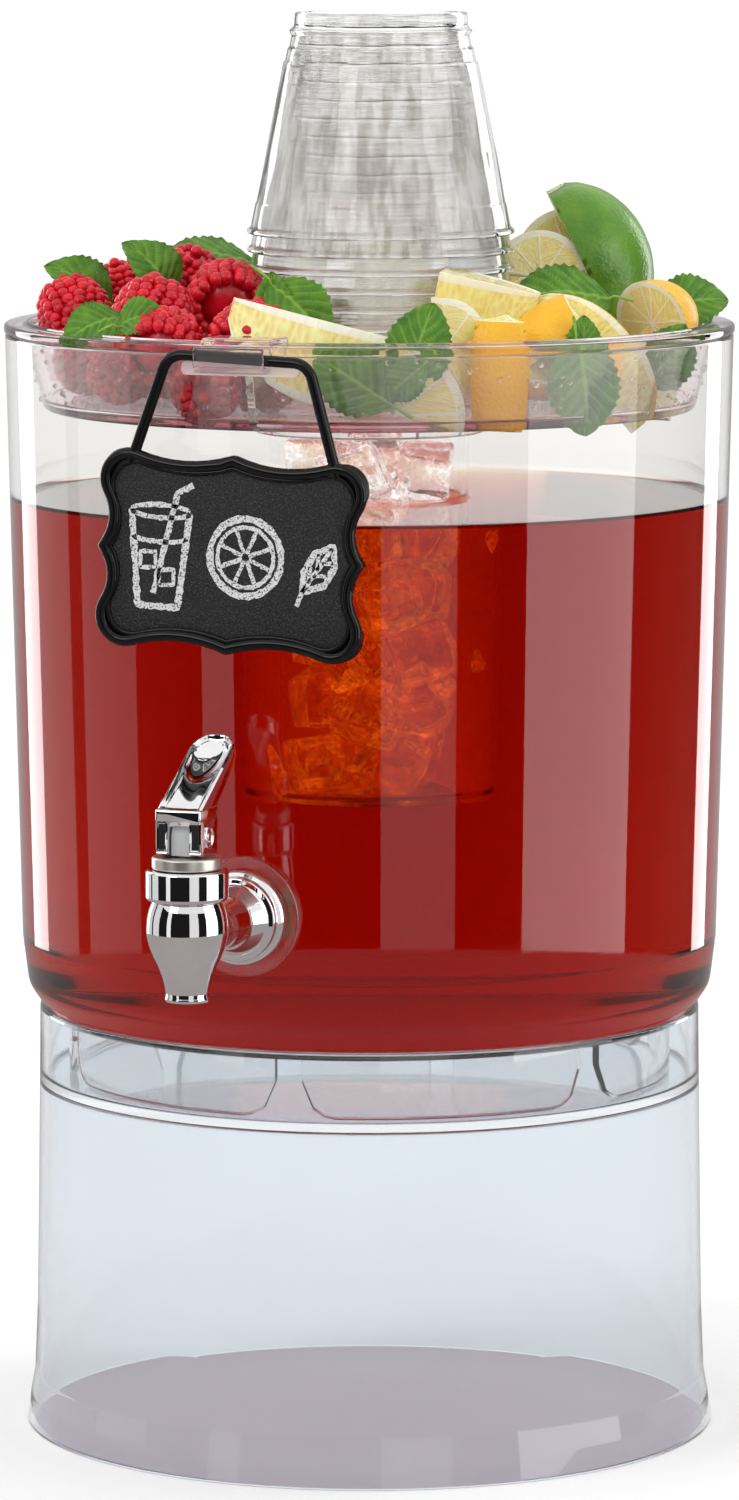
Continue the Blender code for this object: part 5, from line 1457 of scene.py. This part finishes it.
def mint():
    """Leaves tucked into the fruit: kind, place, size, and the directions of the tip and the face."""
    kinds = [
        leaf_mesh("mint_leaf_a", 0.030, 0.021, 0.10, 0.8, 1),
        leaf_mesh("mint_leaf_b", 0.038, 0.026, -0.12, 0.5, 2),
        leaf_mesh("mint_leaf_c", 0.024, 0.017, 0.25, 1.1, 3),
    ]
    spots = [
        (0, -104, -8, 422, 1.0, (-0.7, 0.2, 0.65), (0.3, 0.7, 0.6)),
        (2, -78, 6, 428, 1.15, (-0.5, 0.1, 0.85), (0.3, 0.8, 0.5)),
        (1, -58, -26, 432, 1.0, (-1, 0.2, 0.15), (0, 0.5, 0.85)),
        (0, -98, 74, 413, 0.82, (-0.8, 0.3, -0.25), (-0.1, 0.8, 0.6)),
        (2, -82, 88, 416, 0.85, (0.95, 0.3, 0.3), (0, 0.8, 0.6)),
        (0, -25, 66, 418, 1.05, (0.6, 0.2, -0.55), (0.2, 0.9, 0.5)),
        (2, -34, 62, 420, 0.80, (-0.2, 0.1, 0.9), (-0.2, 0.9, 0.3)),
        (0, -5, 117, 396, 1.10, (-0.75, 0.05, 0.50), (0, 1, 0.02)),
        (1, 17, 112, 407, 0.86, (0.28, 0.0, 0.95), (-0.15, 0.95, 0.2)),
        (2, 12, 117, 396, 0.80, (-0.7, 0.0, -0.6), (0, 1, 0.1)),
        (1, 71, 24, 421, 1.0, (-1, 0.2, 0.1), (0, 0.75, 0.66)),
        (1, 75, 92, 392, 0.95, (0.1, 0.05, -1), (0.1, 1, 0.1)),
        (2, 76, 86, 407, 0.72, (0.1, 0.1, 1), (0.1, 1, 0.2)),
        (0, 117, -10, 415, 1.0, (0.95, 0, 0.30), (-0.1, 0.85, 0.5)),
        (0, 105, 52, 398, 0.95, (0.6, 0.2, 0.7), (0.3, 1, 0.1)),
        (2, 38, -30, 426, 1.0, (0.4, -0.3, 0.8), (0.3, 0.8, 0.4)),
        (0, -30, -95, 432, 1.0, (0.8, -0.4, 0.3), (0, -0.6, 0.8)),
        (1, 20, -92, 436, 1.0, (-0.9, -0.3, 0.2), (0.1, -0.7, 0.7)),
        (0, 60, -80, 430, 0.9, (0.6, -0.6, 0.3), (0.2, -0.5, 0.8)),
        (2, -70, -80, 424, 1.0, (-0.7, -0.6, 0.3), (-0.2, -0.6, 0.8)),
        (0, -15, -70, 436, 0.9, (0.2, -0.9, 0.4), (0, 0.4, 0.9)),
    ]
    for i, (kind, x, toward, z, size, tip, face) in enumerate(spots):
        turn = laid(tip, face, 90) @ scaled(size)
        add_piece(f"mint_{i + 1:02d}", kinds[kind], "tray", None, (), seen(x, toward, z), turn)


# ---------------------------------------------------------------- stage


def stage_material(name, colour, strength=None):
    material, tree, shader = new_material(name)
    if strength is None:
        shader.inputs["Base Color"].default_value = (*colour, 1)
        shader.inputs["Roughness"].default_value = 0.7
        return material
    glow = node(tree, "ShaderNodeEmission", in_Strength=strength)
    glow.inputs["Color"].default_value = (*colour, 1)
    tree.links.new(glow.outputs["Emission"], tree.nodes["Material Output"].inputs["Surface"])
    return material


def stage_piece(name, verts, faces, material):
    obj = new_object(name, new_mesh(name, verts, faces, material))
    return obj


def glossy_only(obj):
    """Hides a stage piece from everything but reflections."""
    obj.visible_camera = False
    obj.visible_diffuse = False
    obj.visible_shadow = False
    obj.visible_volume_scatter = False
    obj.visible_transmission = False


def card(name, first, last, low, high, radius, strength):
    """A white curved wall about the object, from one azimuth of the main view to another, seen in gloss."""
    verts = []
    steps = max(2, int(abs(last - first) / 4))
    for i in range(steps + 1):
        a = math.radians(first + (last - first) * i / steps + CAMERA_AZIMUTH)
        for z in (low, high):
            verts.append((radius * math.sin(a), AXIS.y - radius * math.cos(a), z))
    faces = strips(steps + 1, 2, wrap=False)
    glossy_only(stage_piece(name, verts, faces, stage_material(name, WHITE, strength)))


def lamp(name, place, size, power):
    """A soft white lamp on the object, hidden from reflections."""
    data = bpy.data.lights.new(name, "AREA")
    data.shape = "RECTANGLE"
    data.size = data.size_y = size
    data.energy = power
    obj = new_object(name, data)
    obj.location = place
    obj.rotation_euler = (Vector(place) - Vector((0, 0.03, 0.35))).to_track_quat("Z", "Y").to_euler()
    obj.visible_glossy = False
    obj.visible_transmission = False


def studio():
    """White floor and surround, a pink-grey disc of painted shadow under the stand, cards with dark gaps for
    the reflections, and two lamps.
    """
    half = 6
    corners = [(-half, -half, 0), (half, -half, 0), (half, half, 0), (-half, half, 0)]
    stage_piece("floor", corners, [(0, 1, 2, 3)], stage_material("floor", (0.95, 0.95, 0.95)))
    # Painted shadow: a pink-grey disc on the floor under the stand.
    shadow_disc = stage_material("floor_painted_shadow", (0.93, 0.83, 0.90))
    stage_piece("floor_painted_shadow", circle(0.124, 0.0003, 64), [tuple(range(64))], shadow_disc)
    world = bpy.data.worlds.new("studio")
    SCENE.world = world
    world.use_nodes = True
    tree = world.node_tree
    back = tree.nodes["Background"]
    back.inputs["Color"].default_value = (1, 1, 1, 1)
    back.inputs["Strength"].default_value = 1.06
    dark, far = 0.012, 1.08
    walls = [
        (-180, -141, 0.5), (-141, -127, 4.5), (-127, -106, 0.75), (-106, -99.5, dark), (-99.5, -76, 0.8),
        (-76, -52, dark), (-52, -41.5, 1.0), (-41.5, 3.5, dark), (3.5, 26, 0.87), (26, 48, dark),
        (48, 88, 2.8), (88, 128, dark), (128, 141, 4.6), (141, 180, 0.5),
    ]
    for i, (first, last, strength) in enumerate(walls):
        card(f"card_{i + 1:02d}", first, last, 0.0, 0.9, far, strength)
    high = [(-90, -50, 1.0), (-50, -28, 4.0), (-28, 48, 0.95), (48, 76, 3.5), (76, 90, 1.0)]
    for i, (first, last, strength) in enumerate(high):
        card(f"card_high_{i + 1:02d}", first, last, 0.60, 1.0, 1.04, strength)
    sheen = stage_material("ground_sheen", (0.40, 0.37, 0.36), 1.0)
    ring = circle(0.135, 0.0004, 48) + circle(far, 0.0004, 48)
    glossy_only(stage_piece("ground_sheen", ring, strips(2, 48), sheen))
    lamp("key", (-1.1, -1.3, 1.9), 0.9, 13)
    lamp("rim", (1.2, 0.9, 1.5), 0.7, 7)


def camera():
    data = bpy.data.cameras.new("camera")
    data.lens = 170.9
    data.sensor_width = 36
    obj = new_object("camera", data)
    obj.location = (0.8934, -2.4220, 0.586)
    obj.rotation_euler = (math.radians(82.67), 0, math.radians(CAMERA_AZIMUTH))
    SCENE.camera = obj


SCENE.view_settings.view_transform = "Standard"
SCENE.cycles.max_bounces = 80
SCENE.cycles.transmission_bounces = 80
SCENE.cycles.transparent_max_bounces = 32
SCENE.cycles.glossy_bounces = 10
SCENE.cycles.diffuse_bounces = 4
SCENE.cycles.sample_clamp_indirect = 6.0
SCENE.cycles.blur_glossy = 0.2

for build in (
    camera, studio, stand, drum, tea, core, tray, cups, sign, clip, tap, stem, spring, lever, ice,
    raspberries,
    fruit, mint,
):
    build()
for name, finish in (("inner_gasket", GASKET), ("shank_nut", NUT), ("seat_seal", SEAL)):
    for material_slot in frame["nodes"][name].material_slots:
        material_slot.material = finish
